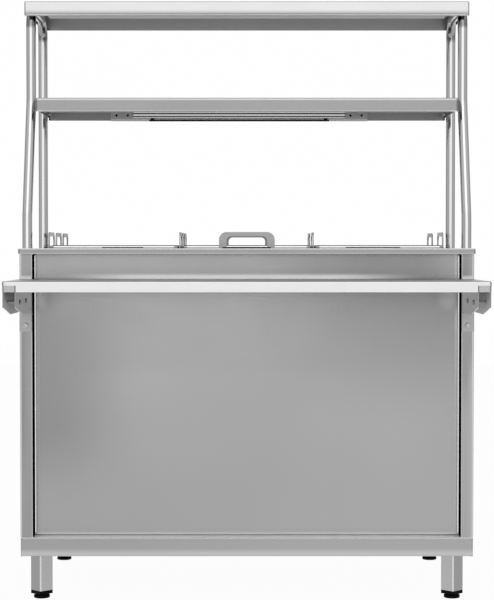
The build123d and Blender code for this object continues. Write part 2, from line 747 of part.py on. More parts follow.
jacket_top = bath_top - bath_wall
jacket_bottom = bath_floor - bath_wall - jacket_gap
jacket_rear = bath_rear + jacket_gap
with BuildPart() as bath_jacket:
    with BuildSketch(Plane((0, bath_y, jacket_top))):
        Rectangle(bath_outer_length + 2 * jacket_gap, bath_outer_width + 2 * jacket_gap)
    extrude(amount=jacket_bottom - jacket_top)
    offset(amount=-jacket_wall, openings=bath_jacket.faces().sort_by(Axis.Z)[-1])
    for x in heater_legs:
        rod((x, jacket_rear, heater_z), (0, -1, 0), heater_radius + screw_gap, 2 * jacket_wall, Mode.SUBTRACT)
    rod((probe_x, jacket_rear, probe_z), (0, -1, 0), probe_radius + screw_gap, 2 * jacket_wall, Mode.SUBTRACT)
    drain_hole = (drain_x, drain_y, jacket_bottom)
    rod(drain_hole, (0, 0, 1), drain_radius + screw_gap, 2 * jacket_wall, Mode.SUBTRACT)
keep(bath_jacket, "bath_jacket")

with BuildPart() as container_bars:
    for side in (-1, 1):
        bar_ys = (bath_y - bath_width / 2 + running_gap, bath_y + bath_width / 2 - running_gap)
        bar_xs = (side * bar_x - bar_width / 2, side * bar_x + bar_width / 2)
        block(bar_xs, bar_ys, (bar_bottom, worktop_height))
    fillet(container_bars.edges().filter_by(Axis.Y).group_by(Axis.Z)[-1], sheet)
keep(container_bars, "container_bars")

# Heating elements: one hairpin under each column, held by nuts on both sides of the bath's rear wall
heater_end = jacket_rear + heater_tail
heater_reach = bath_width - heater_front_gap
with BuildPart() as heating_elements:
    for x in heater_columns:
        turn = heater_leg_gap / 2
        near = bath_rear - heater_reach + turn
        with BuildLine(Plane.XY.offset(heater_z)):
            Line((x - turn, heater_end), (x - turn, near))
            ThreePointArc((x - turn, near), (x, near - turn), (x + turn, near))
            Line((x + turn, near), (x + turn, heater_end))
        with BuildSketch(Plane((x - turn, heater_end, heater_z), z_dir=(0, -1, 0))):
            Circle(heater_radius)
        sweep()
    for x in heater_legs:
        for start in (bath_rear - bath_wall - heater_nut_height, bath_rear):
            hexagon((x, start, heater_z), (0, 1, 0), heater_nut_across, heater_nut_height)
keep(heating_elements, "heating_elements")

with BuildPart() as temperature_probe:
    probe_end = jacket_rear + heater_tail
    rod((probe_x, probe_end, probe_z), (0, -1, 0), probe_radius, probe_length)
    fillet(temperature_probe.edges().filter_by(GeomType.CIRCLE).sort_by(Axis.Y)[0], probe_radius * 0.8)
    hexagon((probe_x, jacket_rear, probe_z), (0, 1, 0), heater_nut_across, heater_nut_height)
keep(temperature_probe, "temperature_probe")

# Drain: a waste pipe from the bath floor that turns back to a ball valve with a lever
drain_drop = bath_floor - drain_fall
valve_front = drain_y + drain_run
with BuildPart() as drain_pipe:
    with BuildLine(Plane((drain_x, 0, 0), (0, 1, 0), (1, 0, 0))):
        FilletPolyline(
            (drain_y, bath_floor),
            (drain_y, drain_drop),
            (valve_front, drain_drop),
            radius=drain_bend,
        )
    with BuildSketch(Plane((drain_x, drain_y, bath_floor), z_dir=(0, 0, -1))):
        Circle(drain_radius)
        Circle(drain_radius - drain_wall, mode=Mode.SUBTRACT)
    sweep()
    with BuildSketch(Plane((drain_x, drain_y, bath_floor))):
        Circle(drain_flange_radius)
        Circle(drain_radius - drain_wall, mode=Mode.SUBTRACT)
    extrude(amount=drain_flange)
keep(drain_pipe, "drain_pipe")

valve_rear = valve_front + valve_length
valve_middle = valve_front + valve_length / 2
stem_foot = drain_drop + valve_across / 2
stem_top = stem_foot + valve_stem
lever_foot = stem_top - lever_thickness - running_gap
with BuildPart() as drain_valve:
    hexagon((drain_x, valve_front, drain_drop), (0, 1, 0), valve_across, valve_length)
    rod((drain_x, valve_middle, drain_drop), (0, 0, 1), valve_stem_radius, stem_top - drain_drop)
    rod((drain_x, valve_middle, drain_drop), (0, 0, 1), valve_collar_radius, lever_foot - drain_drop)
    hexagon((drain_x, valve_middle, stem_top), (0, 0, 1), valve_nut_across, valve_nut)
    rod((drain_x, valve_rear, drain_drop), (0, 1, 0), spigot_shoulder_radius, spigot_shoulder)
    rod((drain_x, valve_rear, drain_drop), (0, 1, 0), spigot_radius, spigot_shoulder + spigot_length)
    bore_run = valve_length + spigot_shoulder + spigot_length
    rod((drain_x, valve_front, drain_drop), (0, 1, 0), spigot_radius - drain_wall, bore_run, Mode.SUBTRACT)
keep(drain_valve, "drain_valve")

with BuildPart() as drain_lever:
    rod((drain_x, valve_middle, lever_foot), (0, 0, 1), lever_boss_radius, lever_thickness)
    lever_x = (drain_x - lever_length, drain_x)
    lever_y = (valve_middle - lever_width / 2, valve_middle + lever_width / 2)
    block(lever_x, lever_y, (lever_foot, lever_foot + lever_thickness))
    fillet(drain_lever.edges().filter_by(Axis.Z).sort_by(Axis.X)[:2], lever_width / 2.2)
    hub = (drain_x, valve_middle, lever_foot)
    rod(hub, (0, 0, 1), valve_stem_radius + running_gap, lever_thickness, Mode.SUBTRACT)
keep(drain_lever, "drain_lever")

# Control fascia: a folded panel across the service side, between the side panels
fascia_y = y_at(worktop_depth - fascia_inset)
fascia_top = edge_bottom - 2 * sheet
fascia_width = 2 * (side_outer - sheet)
gland_x = gland_inset - fascia_width / 2
fascia_face = Plane((0, fascia_y, fascia_top - fascia_height / 2), (1, 0, 0), (0, 1, 0))
control_z = fascia_top - fascia_height + knob_rise
switch_opening = (rocker_width + 2 * running_gap, 2 * (rocker_half + rocker_room))
switch_body = [size + 2 * sheet for size in switch_opening]
with BuildPart() as control_fascia:
    add(folded_tray(fascia_face, fascia_width, fascia_height, panel_flange, sheet, bend))
    for hole_x, radius in (
        (knob_x, shaft_radius + running_gap),
        (pilot_x[0], pilot_radius + screw_gap),
        (pilot_x[1], pilot_radius + screw_gap),
        (gland_x, gland_thread_radius + screw_gap),
    ):
        rod((hole_x, fascia_y, control_z), (0, -1, 0), radius, 2 * sheet, Mode.SUBTRACT)
    for x in switch_x:
        half_x = switch_body[0] / 2 + screw_gap
        half_z = switch_body[1] / 2 + screw_gap
        hole_z = (control_z - half_z, control_z + half_z)
        block((x - half_x, x + half_x), (fascia_y - 2 * sheet, fascia_y), hole_z, Mode.SUBTRACT)
keep(control_fascia, "control_fascia")

# Thermostat behind the fascia, and the knob with its shaft
with BuildPart() as thermostat:
    body_y = (fascia_y - sheet - thermostat_depth, fascia_y - sheet)
    half = thermostat_width / 2
    block((knob_x - half, knob_x + half), body_y, (control_z - half, control_z + half))
    fillet(thermostat.edges().filter_by(Axis.Y), bend)
    shaft_hole = (knob_x, fascia_y - sheet, control_z)
    rod(shaft_hole, (0, -1, 0), shaft_radius + running_gap, thermostat_depth / 2, Mode.SUBTRACT)
keep(thermostat, "thermostat")

with BuildPart() as thermostat_knob:
    skirt = (knob_x, fascia_y + running_gap, control_z)
    rod(skirt, (0, 1, 0), knob_skirt_radius, knob_skirt)
    grip_y = fascia_y + running_gap + knob_skirt
    rod((knob_x, grip_y, control_z), (0, 1, 0), knob_grip_radius, knob_grip)
    with BuildSketch(Plane((knob_x, grip_y, control_z), (1, 0, 0), (0, 1, 0))):
        with PolarLocations(knob_grip_radius + knob_flute_radius / 2, knob_flutes):
            Circle(knob_flute_radius)
    extrude(amount=knob_grip, mode=Mode.SUBTRACT)
    mark_x = (knob_x - knob_mark / 2, knob_x + knob_mark / 2)
    mark_y = (grip_y + knob_grip - knob_mark, grip_y + knob_grip)
    block(mark_x, mark_y, (control_z, control_z + knob_grip_radius), Mode.SUBTRACT)
    shaft_length = sheet + running_gap + thermostat_depth / 2
    rod(skirt, (0, -1, 0), shaft_radius, shaft_length)
keep(thermostat_knob, "thermostat_knob")

# Rocker switches for the bath and the lamp: a framed housing and a rocker that tips on a pivot
pivot_y = fascia_y + switch_flange / 2
with BuildPart() as switch_housings:
    for x in switch_x:
        flange_half_x = switch_body[0] / 2 + switch_frame
        flange_half_z = switch_body[1] / 2 + switch_frame
        flange_z = (control_z - flange_half_z, control_z + flange_half_z)
        block((x - flange_half_x, x + flange_half_x), (fascia_y, fascia_y + switch_flange), flange_z)
        body_x = (x - switch_body[0] / 2, x + switch_body[0] / 2)
        body_z = (control_z - switch_body[1] / 2, control_z + switch_body[1] / 2)
        block(body_x, (fascia_y - switch_depth, fascia_y), body_z)
        room_x = (x - switch_opening[0] / 2, x + switch_opening[0] / 2)
        room_z = (control_z - switch_opening[1] / 2, control_z + switch_opening[1] / 2)
        block(room_x, (fascia_y - switch_depth + sheet, fascia_y + switch_flange), room_z, Mode.SUBTRACT)
        pivot_x = (x - switch_opening[0] / 2 - sheet / 2, x + switch_opening[0] / 2 + sheet / 2)
        rod((pivot_x[0], pivot_y, control_z), (1, 0, 0), sheet, pivot_x[1] - pivot_x[0])
keep(switch_housings, "switch_housings")

for x, name in zip(switch_x, ("heat", "light")):
    leaning = Vector(0, 1, 0).rotate(Axis.X, rocker_tilt)
    tilted = Plane((x - rocker_width / 2, pivot_y, control_z), leaning, (1, 0, 0))
    with BuildPart() as rocker:
        with BuildSketch(tilted):
            with BuildLine():
                Polyline(
                    (-rocker_rise, -rocker_half),
                    (rocker_rise, -rocker_half),
                    (rocker_rise - rocker_dip, 0),
                    (rocker_rise, rocker_half),
                    (-rocker_rise, rocker_half),
                    close=True,
                )
            make_face()
            Circle(sheet + running_gap, mode=Mode.SUBTRACT)
        extrude(amount=rocker_width)
    keep(rocker, f"{name}_switch")

# Pilot lamps and the gland for the supply cable
with BuildPart() as pilot_lamps:
    for x in pilot_x:
        rod((x, fascia_y, control_z), (0, 1, 0), pilot_bezel_radius, pilot_bezel)
        rod((x, fascia_y - pilot_depth, control_z), (0, 1, 0), pilot_radius, pilot_depth)
        rod((x, fascia_y + pilot_bezel, control_z), (0, 1, 0), pilot_radius, pilot_bezel)
    dome_edges = pilot_lamps.edges().filter_by(GeomType.CIRCLE).group_by(Axis.Y)[-1]
    fillet(dome_edges, pilot_bezel * 0.8)
keep(pilot_lamps, "pilot_lamps")

with BuildPart() as cable_gland:
    hexagon((gland_x, fascia_y, control_z), (0, 1, 0), gland_across, gland_body)
    rod((gland_x, fascia_y + gland_body, control_z), (0, 1, 0), gland_nut_radius, gland_nut)
    fillet(cable_gland.edges().filter_by(GeomType.CIRCLE).sort_by(Axis.Y)[-1], bend)
    rod((gland_x, fascia_y - gland_thread, control_z), (0, 1, 0), gland_thread_radius, gland_thread)
    hexagon((gland_x, fascia_y - sheet, control_z), (0, -1, 0), gland_across, gland_body / 2)
    gland_run = gland_thread + gland_body + gland_nut
    rod((gland_x, fascia_y - gland_thread, control_z), (0, 1, 0), gland_bore, gland_run, Mode.SUBTRACT)
keep(cable_gland, "cable_gland")


def container_places():
    """Name, centre and plan size of each container, and the axis along which its handles face."""
    third = (rim_full - 2 * rim_spacing) / 3
    half = (rim_full - rim_spacing) / 2
    first = bath_y - rim_full / 2
    yield "full", 0, bath_y, rim_length, rim_full, "y"
    for n, place in enumerate(("front", "rear")):
        y = first + half / 2 + n * (half + rim_spacing)
        yield f"half_{place}", column_pitch, y, rim_length, half, "x"
    for n, place in enumerate(("front", "middle", "rear")):
        y = first + third / 2 + n * (third + rim_spacing)
        yield f"third_{place}", -column_pitch, y, rim_length, third, "x"


def handle(plane):
    """An upright plate handle with rounded shoulders, in the part being built."""
    inner_half = handle_length / 2 - handle_leg
    loops = (
        (handle_length / 2, handle_height, handle_outer, Mode.ADD),
        (inner_half, handle_height - handle_bar, handle_inner, Mode.SUBTRACT),
    )
    with BuildSketch(plane) as outline:
        for half, top, radius, mode in loops:
            with BuildLine():
                FilletPolyline((-half, 0), (-half, top), (half, top), (half, 0), radius=radius)
                Line((half, 0), (-half, 0))
            make_face(mode=mode)
        Rectangle(handle_recess, 2 * handle_recess_height, mode=Mode.SUBTRACT)
    extrude(outline.sketch, amount=handle_thickness)


def pressed_pan(x, y, size_x, size_y, inset):
    """A tapered block with rounded corners that fills a container down to this inset from its outside."""
    with BuildPart() as pan:
        with BuildSketch(Plane((x, y, rim_top), z_dir=(0, 0, -1))):
            RectangleRounded(size_x - 2 * inset, size_y - 2 * inset, container_corner - inset)
        extrude(amount=container_depth - inset, taper=container_taper)
        fillet(pan.faces().sort_by(Axis.Z)[0].edges(), container_foot - inset)
    return pan.part


# Containers: pressed pans hung by their rims, and two plate handles at each rim's edge
for name, x, y, size_x, size_y, faces in container_places():
    pan_x = size_x - 2 * rim_width
    pan_y = size_y - 2 * rim_width
    with BuildPart() as container:
        add(pressed_pan(x, y, pan_x, pan_y, 0))
        add(pressed_pan(x, y, pan_x, pan_y, container_wall), mode=Mode.SUBTRACT)
        with BuildSketch(Plane((x, y, rim_top))):
            RectangleRounded(size_x, size_y, rim_corner)
            mouth_corner = container_corner - container_wall / 2
            RectangleRounded(pan_x - container_wall, pan_y - container_wall, mouth_corner, mode=Mode.SUBTRACT)
        extrude(amount=-rim_thickness)
    keep(container, f"container_{name}")
    with BuildPart() as handles:
        for sign in (-1, 1):
            if faces == "y":
                edge = Plane((x, y + sign * size_y / 2, worktop_height), (-sign, 0, 0), (0, sign, 0))
            else:
                edge = Plane((x + sign * size_x / 2, y, worktop_height), (0, sign, 0), (sign, 0, 0))
            handle(edge)
    keep(handles, f"handles_{name}")

# Lids: pressed covers with a sloped border, notched at the handles, with a strap across a well
lid_plan_shrink = 2 * lid_margin
lid_top = rim_top + lid_skirt + lid_rise
lid_notches = {
    "third": (lid_notch_third, lid_notch_third_shift),
    "half": (lid_notch_half, lid_notch_half_shift),
}
for name, x, y, size_x, size_y, faces in container_places():
    lid_x = size_x - lid_plan_shrink
    lid_y = size_y - lid_plan_shrink
    with BuildPart() as lid:
        with BuildSketch(Plane((x, y, rim_top))):
            RectangleRounded(lid_x, lid_y, lid_corner)
        extrude(amount=lid_skirt)
        with BuildSketch(Plane((x, y, rim_top + lid_skirt))):
            RectangleRounded(lid_x, lid_y, lid_corner)
        with BuildSketch(Plane((x, y, lid_top))):
            RectangleRounded(lid_x - 2 * lid_slope, lid_y - 2 * lid_slope, lid_corner - lid_slope)
        loft()
        offset(amount=-lid_wall, openings=lid.faces().sort_by(Axis.Z)[0])
        notch_z = (rim_top, rim_top + lid_notch_height)
        for sign in (-1, 1):
            edge_x = (x + sign * (lid_x / 2 - 2 * lid_wall), x + sign * lid_x / 2)
            edge_y = (y + sign * (lid_y / 2 - 2 * lid_wall), y + sign * lid_y / 2)
            if faces == "x":
                half = lid_notch_handle / 2
                block(edge_x, (y - half, y + half), notch_z, Mode.SUBTRACT)
                notch, shift = lid_notches[name.split("_")[0]]
                middle = x + shift
                block((middle - notch / 2, middle + notch / 2), edge_y, notch_z, Mode.SUBTRACT)
            else:
                half = lid_notch_handle / 2
                block((x - half, x + half), edge_y, notch_z, Mode.SUBTRACT)
        with BuildSketch(Plane((x, y, lid_top))):
            RectangleRounded(well_length + 2 * lid_wall, well_width + 2 * lid_wall, well_corner + lid_wall)
        extrude(amount=-well_depth - lid_wall)
        with BuildSketch(Plane((x, y, lid_top))):
            RectangleRounded(well_length, well_width, well_corner)
        extrude(amount=-well_depth, mode=Mode.SUBTRACT)
        strap_x = (x - strap_width / 2, x + strap_width / 2)
        strap_y = (y - well_width / 2 - lid_wall / 2, y + well_width / 2 + lid_wall / 2)
        block(strap_x, strap_y, (lid_top - strap_thickness, lid_top))
    keep(lid, f"lid_{name}")
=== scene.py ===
import math

import bmesh
import bpy
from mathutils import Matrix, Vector


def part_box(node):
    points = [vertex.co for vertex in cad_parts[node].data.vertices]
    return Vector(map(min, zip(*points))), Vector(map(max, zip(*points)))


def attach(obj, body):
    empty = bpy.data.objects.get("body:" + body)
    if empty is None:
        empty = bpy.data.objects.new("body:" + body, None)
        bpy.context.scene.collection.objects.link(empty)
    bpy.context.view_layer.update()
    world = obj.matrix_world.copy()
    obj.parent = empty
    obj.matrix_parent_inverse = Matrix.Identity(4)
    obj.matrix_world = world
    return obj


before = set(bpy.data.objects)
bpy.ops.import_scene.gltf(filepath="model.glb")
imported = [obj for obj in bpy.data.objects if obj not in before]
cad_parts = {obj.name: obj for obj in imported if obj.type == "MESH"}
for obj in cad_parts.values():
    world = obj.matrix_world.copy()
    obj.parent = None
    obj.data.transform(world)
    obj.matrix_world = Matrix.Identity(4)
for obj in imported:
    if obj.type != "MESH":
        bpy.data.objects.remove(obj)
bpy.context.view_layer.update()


# Legs: four square stainless tubes, turned 45 degrees and welded to small plates under the
# bottom shelf, with a bead of weld round each top. The satin grain runs up the tube.
class Wire:
    """An output socket of a node tree. Arithmetic on it adds Math nodes to the tree."""

    def __init__(self, tree, socket):
        self.tree = tree
        self.socket = socket

    def node(self, kind, sockets, output=0, **settings):
        """Adds any node: its settings first, then values or links for its sockets."""
        made = self.tree.nodes.new(kind)
        for name, value in settings.items():
            setattr(made, name, value)
        for key, value in sockets.items():
            if isinstance(value, Wire):
                self.tree.links.new(value.socket, made.inputs[key])
            else:
                made.inputs[key].default_value = value
        return Wire(self.tree, made.outputs[output])

    def math(self, operation, first, second=0.0):
        return self.node("ShaderNodeMath", {0: first, 1: second}, operation=operation)

    def __add__(self, other):
        return self.math("ADD", self, other)

    def __radd__(self, other):
        return self.math("ADD", other, self)

    def __sub__(self, other):
        return self.math("SUBTRACT", self, other)

    def __rsub__(self, other):
        return self.math("SUBTRACT", other, self)

    def __mul__(self, other):
        return self.math("MULTIPLY", self, other)

    def __rmul__(self, other):
        return self.math("MULTIPLY", other, self)

    def step(self, start, end):
        """0 before start, 1 after end, and smooth between them."""
        sockets = {"Value": self, "From Min": start, "From Max": end}
        return self.node("ShaderNodeMapRange", sockets, interpolation_type="SMOOTHSTEP")

    def tint(self, low, high):
        """A colour that goes from low to high as this value goes from 0 to 1."""
        sockets = {"Factor_Float": self, "A_Color": low, "B_Color": high}
        mix = self.tree.nodes.new("ShaderNodeMix")
        mix.data_type = "RGBA"
        for socket in mix.inputs:
            value = sockets.get(socket.identifier)
            if isinstance(value, Wire):
                self.tree.links.new(value.socket, socket)
            elif value is not None:
                socket.default_value = value
        colour = next(out for out in mix.outputs if out.identifier == "Result_Color")
        return Wire(self.tree, colour)

    def feed(self, target, name):
        self.tree.links.new(self.socket, target.inputs[name])


def grey(level):
    return (level, level, level, 1.0)


def new_finish(name):
    """A material with its shader and its Object coordinates."""
    material = bpy.data.materials.new(name)
    material.use_nodes = True
    tree = material.node_tree
    shader = tree.nodes["Principled BSDF"]
    place = Wire(tree, tree.nodes.new("ShaderNodeTexCoord").outputs["Object"])
    return material, shader, place


def along(place, axis):
    """The coordinate along x, Y or Z; X in capitals counts from the middle to both sides."""
    value = place.node("ShaderNodeSeparateXYZ", {"Vector": place}, output="XYZ".index(axis.upper()))
    return value.math("ABSOLUTE", value) if axis == "X" else value


def brushed_sheet(name, tone, grain, roughness=0.36, cloud=0.06, metal=1.0, gloss=0.5, bands=()):
    """Stainless steel with a rolled grain along one axis, cloudy wipe marks and fine scratches.

    A band is a part of the sheet whose tone and metal share are set apart, mostly to paint in
    highlights, reflections and shade: its ranges along axes, each with the softness of its border in
    metres, and the tone and the metal share inside them.
    """
    material, shader, place = new_finish(name)
    stretch = [12.0 if axis == grain else 620.0 for axis in "XYZ"]
    grained = place.node("ShaderNodeMapping", {"Vector": place, "Scale": stretch})
    streaks = place.node("ShaderNodeTexNoise", {"Vector": grained, "Scale": 1.0, "Detail": 3.0})
    clouds = place.node("ShaderNodeTexNoise", {"Vector": place, "Scale": 2.4, "Detail": 1.0})
    smears = {"Vector": place, "Scale": 11.0, "Detail": 3.0, "Distortion": 0.6}
    smears = place.node("ShaderNodeTexNoise", smears)
    crossed = {"Vector": place, "Rotation": (0.5, 0.7, 0.4), "Scale": (9.0, 330.0, 330.0)}
    scratches = place.node("ShaderNodeMapping", crossed)
    scratches = place.node("ShaderNodeTexNoise", {"Vector": scratches, "Scale": 1.0, "Detail": 1.0})
    scratches = scratches.step(0.66, 0.72)
    shade = 0.24 * streaks + 0.5 * clouds.step(0.3, 0.7) + 0.16 * smears + 0.10 * scratches
    colour = shade.tint(grey(tone * (1 - cloud)), grey(tone * (1 + cloud)))
    metal_share = metal
    for ranges, band_tone, band_metal in bands:
        inside = 1.0
        for axis, low, high, softness in ranges:
            value = along(place, axis)
            inside = inside * value.step(low - softness, low) * (1.0 - value.step(high, high + softness))
        colour = inside.tint(colour, grey(band_tone))
        if band_metal != metal:
            metal_share = inside * (band_metal - metal) + metal_share
    colour.feed(shader, "Base Color")
    if isinstance(metal_share, Wire):
        metal_share.feed(shader, "Metallic")
    else:
        shader.inputs["Metallic"].default_value = metal
    shader.inputs["Specular IOR Level"].default_value = gloss
    (roughness + 0.07 * (streaks - 0.5) + 0.08 * (smears - 0.5) - 0.05 * scratches).feed(shader, "Roughness")
    bump = place.node("ShaderNodeBump", {"Strength": 0.05, "Distance": 0.0003, "Height": streaks})
    bump.feed(shader, "Normal")
    return material


def dress(material, *names):
    """Gives CAD nodes their material."""
    for name in names:
        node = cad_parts[name]
        if not node.material_slots:
            node.data.materials.append(material)
        for slot in node.material_slots:
            slot.material = material


def new_tree(name, **sizes):
    """A Geometry Nodes tree with points to work on, named sizes and a finish, and its inputs."""
    tree = bpy.data.node_groups.new(name, "GeometryNodeTree")
    tree.interface.new_socket("Places", in_out="INPUT", socket_type="NodeSocketGeometry")
    for label, kind in sizes.items():
        tree.interface.new_socket(label, in_out="INPUT", socket_type=f"NodeSocket{kind}")
    tree.interface.new_socket("Finish", in_out="INPUT", socket_type="NodeSocketMaterial")
    tree.interface.new_socket("Mesh", in_out="OUTPUT", socket_type="NodeSocketGeometry")
    given = tree.nodes.new("NodeGroupInput")
    return tree, {socket.name: Wire(tree, socket) for socket in given.outputs if socket.name}


def end_tree(shape, given, turn=(0.0, 0.0, 0.0)):
    """Puts the shape on every point, makes the copies real and gives them their finish."""
    spread = {"Points": given["Places"], "Instance": shape, "Rotation": turn}
    copies = shape.node("GeometryNodeInstanceOnPoints", spread)
    real = shape.node("GeometryNodeRealizeInstances", {"Geometry": copies})
    painted = shape.node("GeometryNodeSetMaterial", {"Geometry": real, "Material": given["Finish"]})
    painted.feed(shape.tree.nodes.new("NodeGroupOutput"), "Mesh")


def grow(name, tree, places, body, slot, **sizes):
    """Runs a tree on these points and keeps the result as one plain mesh that rides on a body."""
    mesh = bpy.data.meshes.new(name)
    mesh.from_pydata(places, [], [])
    piece = bpy.data.objects.new(name, mesh)
    bpy.context.scene.collection.objects.link(piece)
    modifier = piece.modifiers.new("shape", "NODES")
    modifier.node_group = tree
    for socket in tree.interface.items_tree:
        if socket.in_out == "INPUT" and socket.name in sizes:
            modifier[socket.identifier] = sizes[socket.name]
    bpy.context.view_layer.update()
    made = piece.evaluated_get(bpy.context.evaluated_depsgraph_get())
    shaped = bpy.data.meshes.new_from_object(made)
    piece.modifiers.remove(modifier)
    piece.data = shaped
    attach(piece, body)


ring_tree, ring = new_tree(
    "closed_bead", Width="Float", Depth="Float", Corner="Float", Radius="Float", Turn="Vector"
)
ring_path = {"Width": ring["Width"], "Height": ring["Depth"]}
ring_path = ring["Width"].node("GeometryNodeCurvePrimitiveQuadrilateral", ring_path)
ring_corners = {"Curve": ring_path, "Count": 8, "Radius": ring["Corner"]}
ring_path = ring_path.node("GeometryNodeFilletCurve", ring_corners, mode="POLY")
ring_round = ring_path.node("GeometryNodeCurvePrimitiveCircle", {"Resolution": 10, "Radius": ring["Radius"]})
ring_bead = ring_path.node("GeometryNodeCurveToMesh", {"Curve": ring_path, "Profile Curve": ring_round})
end_tree(ring_bead.node("GeometryNodeSetShadeSmooth", {"Geometry": ring_bead}), ring, ring["Turn"])

corners = ("front_left", "front_right", "rear_left", "rear_right")
feet = {corner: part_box(f"foot_{corner}") for corner in corners}
leg_x = (feet["front_right"][0].x + feet["front_right"][1].x) / 2
past_side = 0.6
# Each leg's outer faces are painted darker as shade, and a painted highlight runs down its front corner.
leg_outer_face_shade = [("X", leg_x + 0.0025, past_side, 0.0005)]
leg_corner_highlight = [("X", leg_x - 0.0016, leg_x + 0.0016, 0.0008)]
leg_light_bands = [(leg_outer_face_shade, 0.33, 1.0), (leg_corner_highlight, 0.70, 1.0)]
leg_steel = brushed_sheet("leg_steel", 0.47, "Z", roughness=0.28, bands=leg_light_bands)
dress(leg_steel, "legs")
weld_width = 0.0412
weld_corner = 0.004
weld_radius = 0.0016
weld_drop = 0.004
weld_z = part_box("legs")[1].z - weld_drop
weld_places = [((low.x + high.x) / 2, (low.y + high.y) / 2, weld_z) for low, high in feet.values()]
weld_steel = brushed_sheet("weld_steel", 0.42, "Z", roughness=0.36, cloud=0.3)
grow("leg_welds", ring_tree, weld_places, "counter", "cabinet_steel", Finish=weld_steel,
     Width=weld_width, Depth=weld_width, Corner=weld_corner, Radius=weld_radius,
     Turn=(0.0, 0.0, math.radians(45)))


# Plugs and feet: black moulded plastic, a plug pushed into the end of each leg and a round
# foot whose threaded stem screws up into it.
def moulded_plastic(name, tone, roughness=0.55, gloss=0.2):
    """Plastic with the fine spark-eroded texture of its mould and slightly rubbed high spots."""
    material, shader, place = new_finish(name)
    texture = place.node("ShaderNodeTexNoise", {"Vector": place, "Scale": 900.0, "Detail": 2.0})
    rubs = place.node("ShaderNodeTexNoise", {"Vector": place, "Scale": 60.0, "Detail": 3.0})
    rubs.tint(grey(tone * 0.6), grey(tone * 1.6)).feed(shader, "Base Color")
    (roughness + 0.2 * (rubs - 0.5)).feed(shader, "Roughness")
    bump = place.node("ShaderNodeBump", {"Strength": 0.12, "Distance": 0.0003, "Height": texture})
    bump.feed(shader, "Normal")
    shader.inputs["Specular IOR Level"].default_value = gloss
    return material


coil_tree, coil = new_tree(
    "wound_wire", Turns="Float", Radius="Float", Length="Float", Wire="Float", Turn="Vector"
)
coil_path = {
    "Resolution": 16,
    "Rotations": coil["Turns"],
    "Start Radius": coil["Radius"],
    "End Radius": coil["Radius"],
    "Height": coil["Length"],
}
coil_path = coil["Turns"].node("GeometryNodeCurveSpiral", coil_path)
coil_round = coil_path.node("GeometryNodeCurvePrimitiveCircle", {"Resolution": 6, "Radius": coil["Wire"]})
coil_sweep = {"Curve": coil_path, "Profile Curve": coil_round, "Fill Caps": True}
coil_wire = coil_path.node("GeometryNodeCurveToMesh", coil_sweep)
end_tree(coil_wire.node("GeometryNodeSetShadeSmooth", {"Geometry": coil_wire}), coil, coil["Turn"])

black_plastic = moulded_plastic("black_plastic", 0.003, gloss=0.06)
dress(black_plastic, "leg_plugs")
thread_start = 0.0125
thread_length = 0.034
thread_turns = 22.0
thread_radius = 0.0047
thread_wire = 0.0004
for corner, (low, high) in feet.items():
    dress(black_plastic, f"foot_{corner}")
    stem = ((low.x + high.x) / 2, (low.y + high.y) / 2, thread_start)
    grow(f"foot_thread_{corner}", coil_tree, [stem], f"foot_{corner}", "black_plastic",
         Finish=black_plastic, Turns=thread_turns, Radius=thread_radius, Length=thread_length,
         Wire=thread_wire, Turn=(0.0, 0.0, 0.0))

# Bottom shelf: one folded stainless sheet with a deep apron in front, grain lengthwise. A
# painted highlight lies on its rolled lower bend and on the strip that shows before the front panel.
shelf_low, shelf_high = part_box("bottom_shelf")
panel_low, panel_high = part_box("front_panel")
# Painted highlights on the lower bend and on the strip before the front panel.
shelf_bend_highlight = [("Z", shelf_low.z - 0.01, shelf_low.z + 0.006, 0.016)]
shelf_strip_highlight = [("Z", shelf_high.z - 0.0008, 0.2, 0.0008), ("Y", shelf_low.y - 0.01, panel_low.y, 0.001)]
shelf_highlight_bands = [(shelf_bend_highlight, 0.54, 1.0), (shelf_strip_highlight, 0.97, 0.0)]
shelf_steel = brushed_sheet("shelf_steel", 0.385, "X", bands=shelf_highlight_bands)
dress(shelf_steel, "bottom_shelf")

# Side panels: folded stainless sheets whose front edges turn in as stiles and back again beside
# the front panel. The stiles carry painted shade in patches, and painted highlights along their
# folds and just above the tray.
side_low, side_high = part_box("side_panel_right")
tray_low, tray_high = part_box("tray_shelf")
stile_front = ("Y", side_low.y - 0.01, side_low.y + 0.003, 0.001)
stile_start = 0.50
# Painted shade and light on the stiles' fronts: patches of shade, lighter patches low on the right,
# highlights along both folds and over the tray.
stile_left_shade = [("x", -past_side, -0.557, 0.026), ("Z", 0.50, 0.90, 0.25), ("Z", 0.0, 0.70, 0.03)]
stile_under_tray_shade = [("x", stile_start, 0.545, 0.01), ("Z", 0.57, 0.70, 0.06)]
stile_low_right_light = [("x", stile_start, past_side, 0.01), ("Z", 0.0, 0.44, 0.12)]
stile_low_edge_light = [("x", 0.557, past_side, 0.018), ("Z", 0.0, 0.54, 0.1)]
stile_high_right_shade = [("x", stile_start, 0.535, 0.022), ("Z", 0.76, 1.0, 0.02)]
stile_over_tray_highlight = [("Z", tray_high.z - 0.01, tray_high.z + 0.003, 0.008)]
stile_outer_fold_highlight = [("X", side_high.x - 0.0036, side_high.x + 0.01, 0.0012)]
stile_inner_fold_highlight = [("X", side_low.x - 0.01, side_low.x + 0.0026, 0.0008)]
side_light_bands = [
    ([stile_front, *stile_left_shade], 0.26, 1.0),
    ([stile_front, *stile_under_tray_shade], 0.30, 1.0),
    ([stile_front, *stile_low_right_light], 0.385, 1.0),
    ([stile_front, *stile_low_edge_light], 0.44, 1.0),
    ([stile_front, *stile_high_right_shade], 0.265, 1.0),
    ([stile_front, *stile_over_tray_highlight], 0.60, 1.0),
    ([stile_front, *stile_outer_fold_highlight], 0.62, 1.0),
    ([stile_front, *stile_inner_fold_highlight], 0.50, 1.0),
]
side_steel = brushed_sheet("side_steel", 0.33, "Z", roughness=0.3, bands=side_light_bands)
dress(side_steel, "side_panel_left", "side_panel_right")
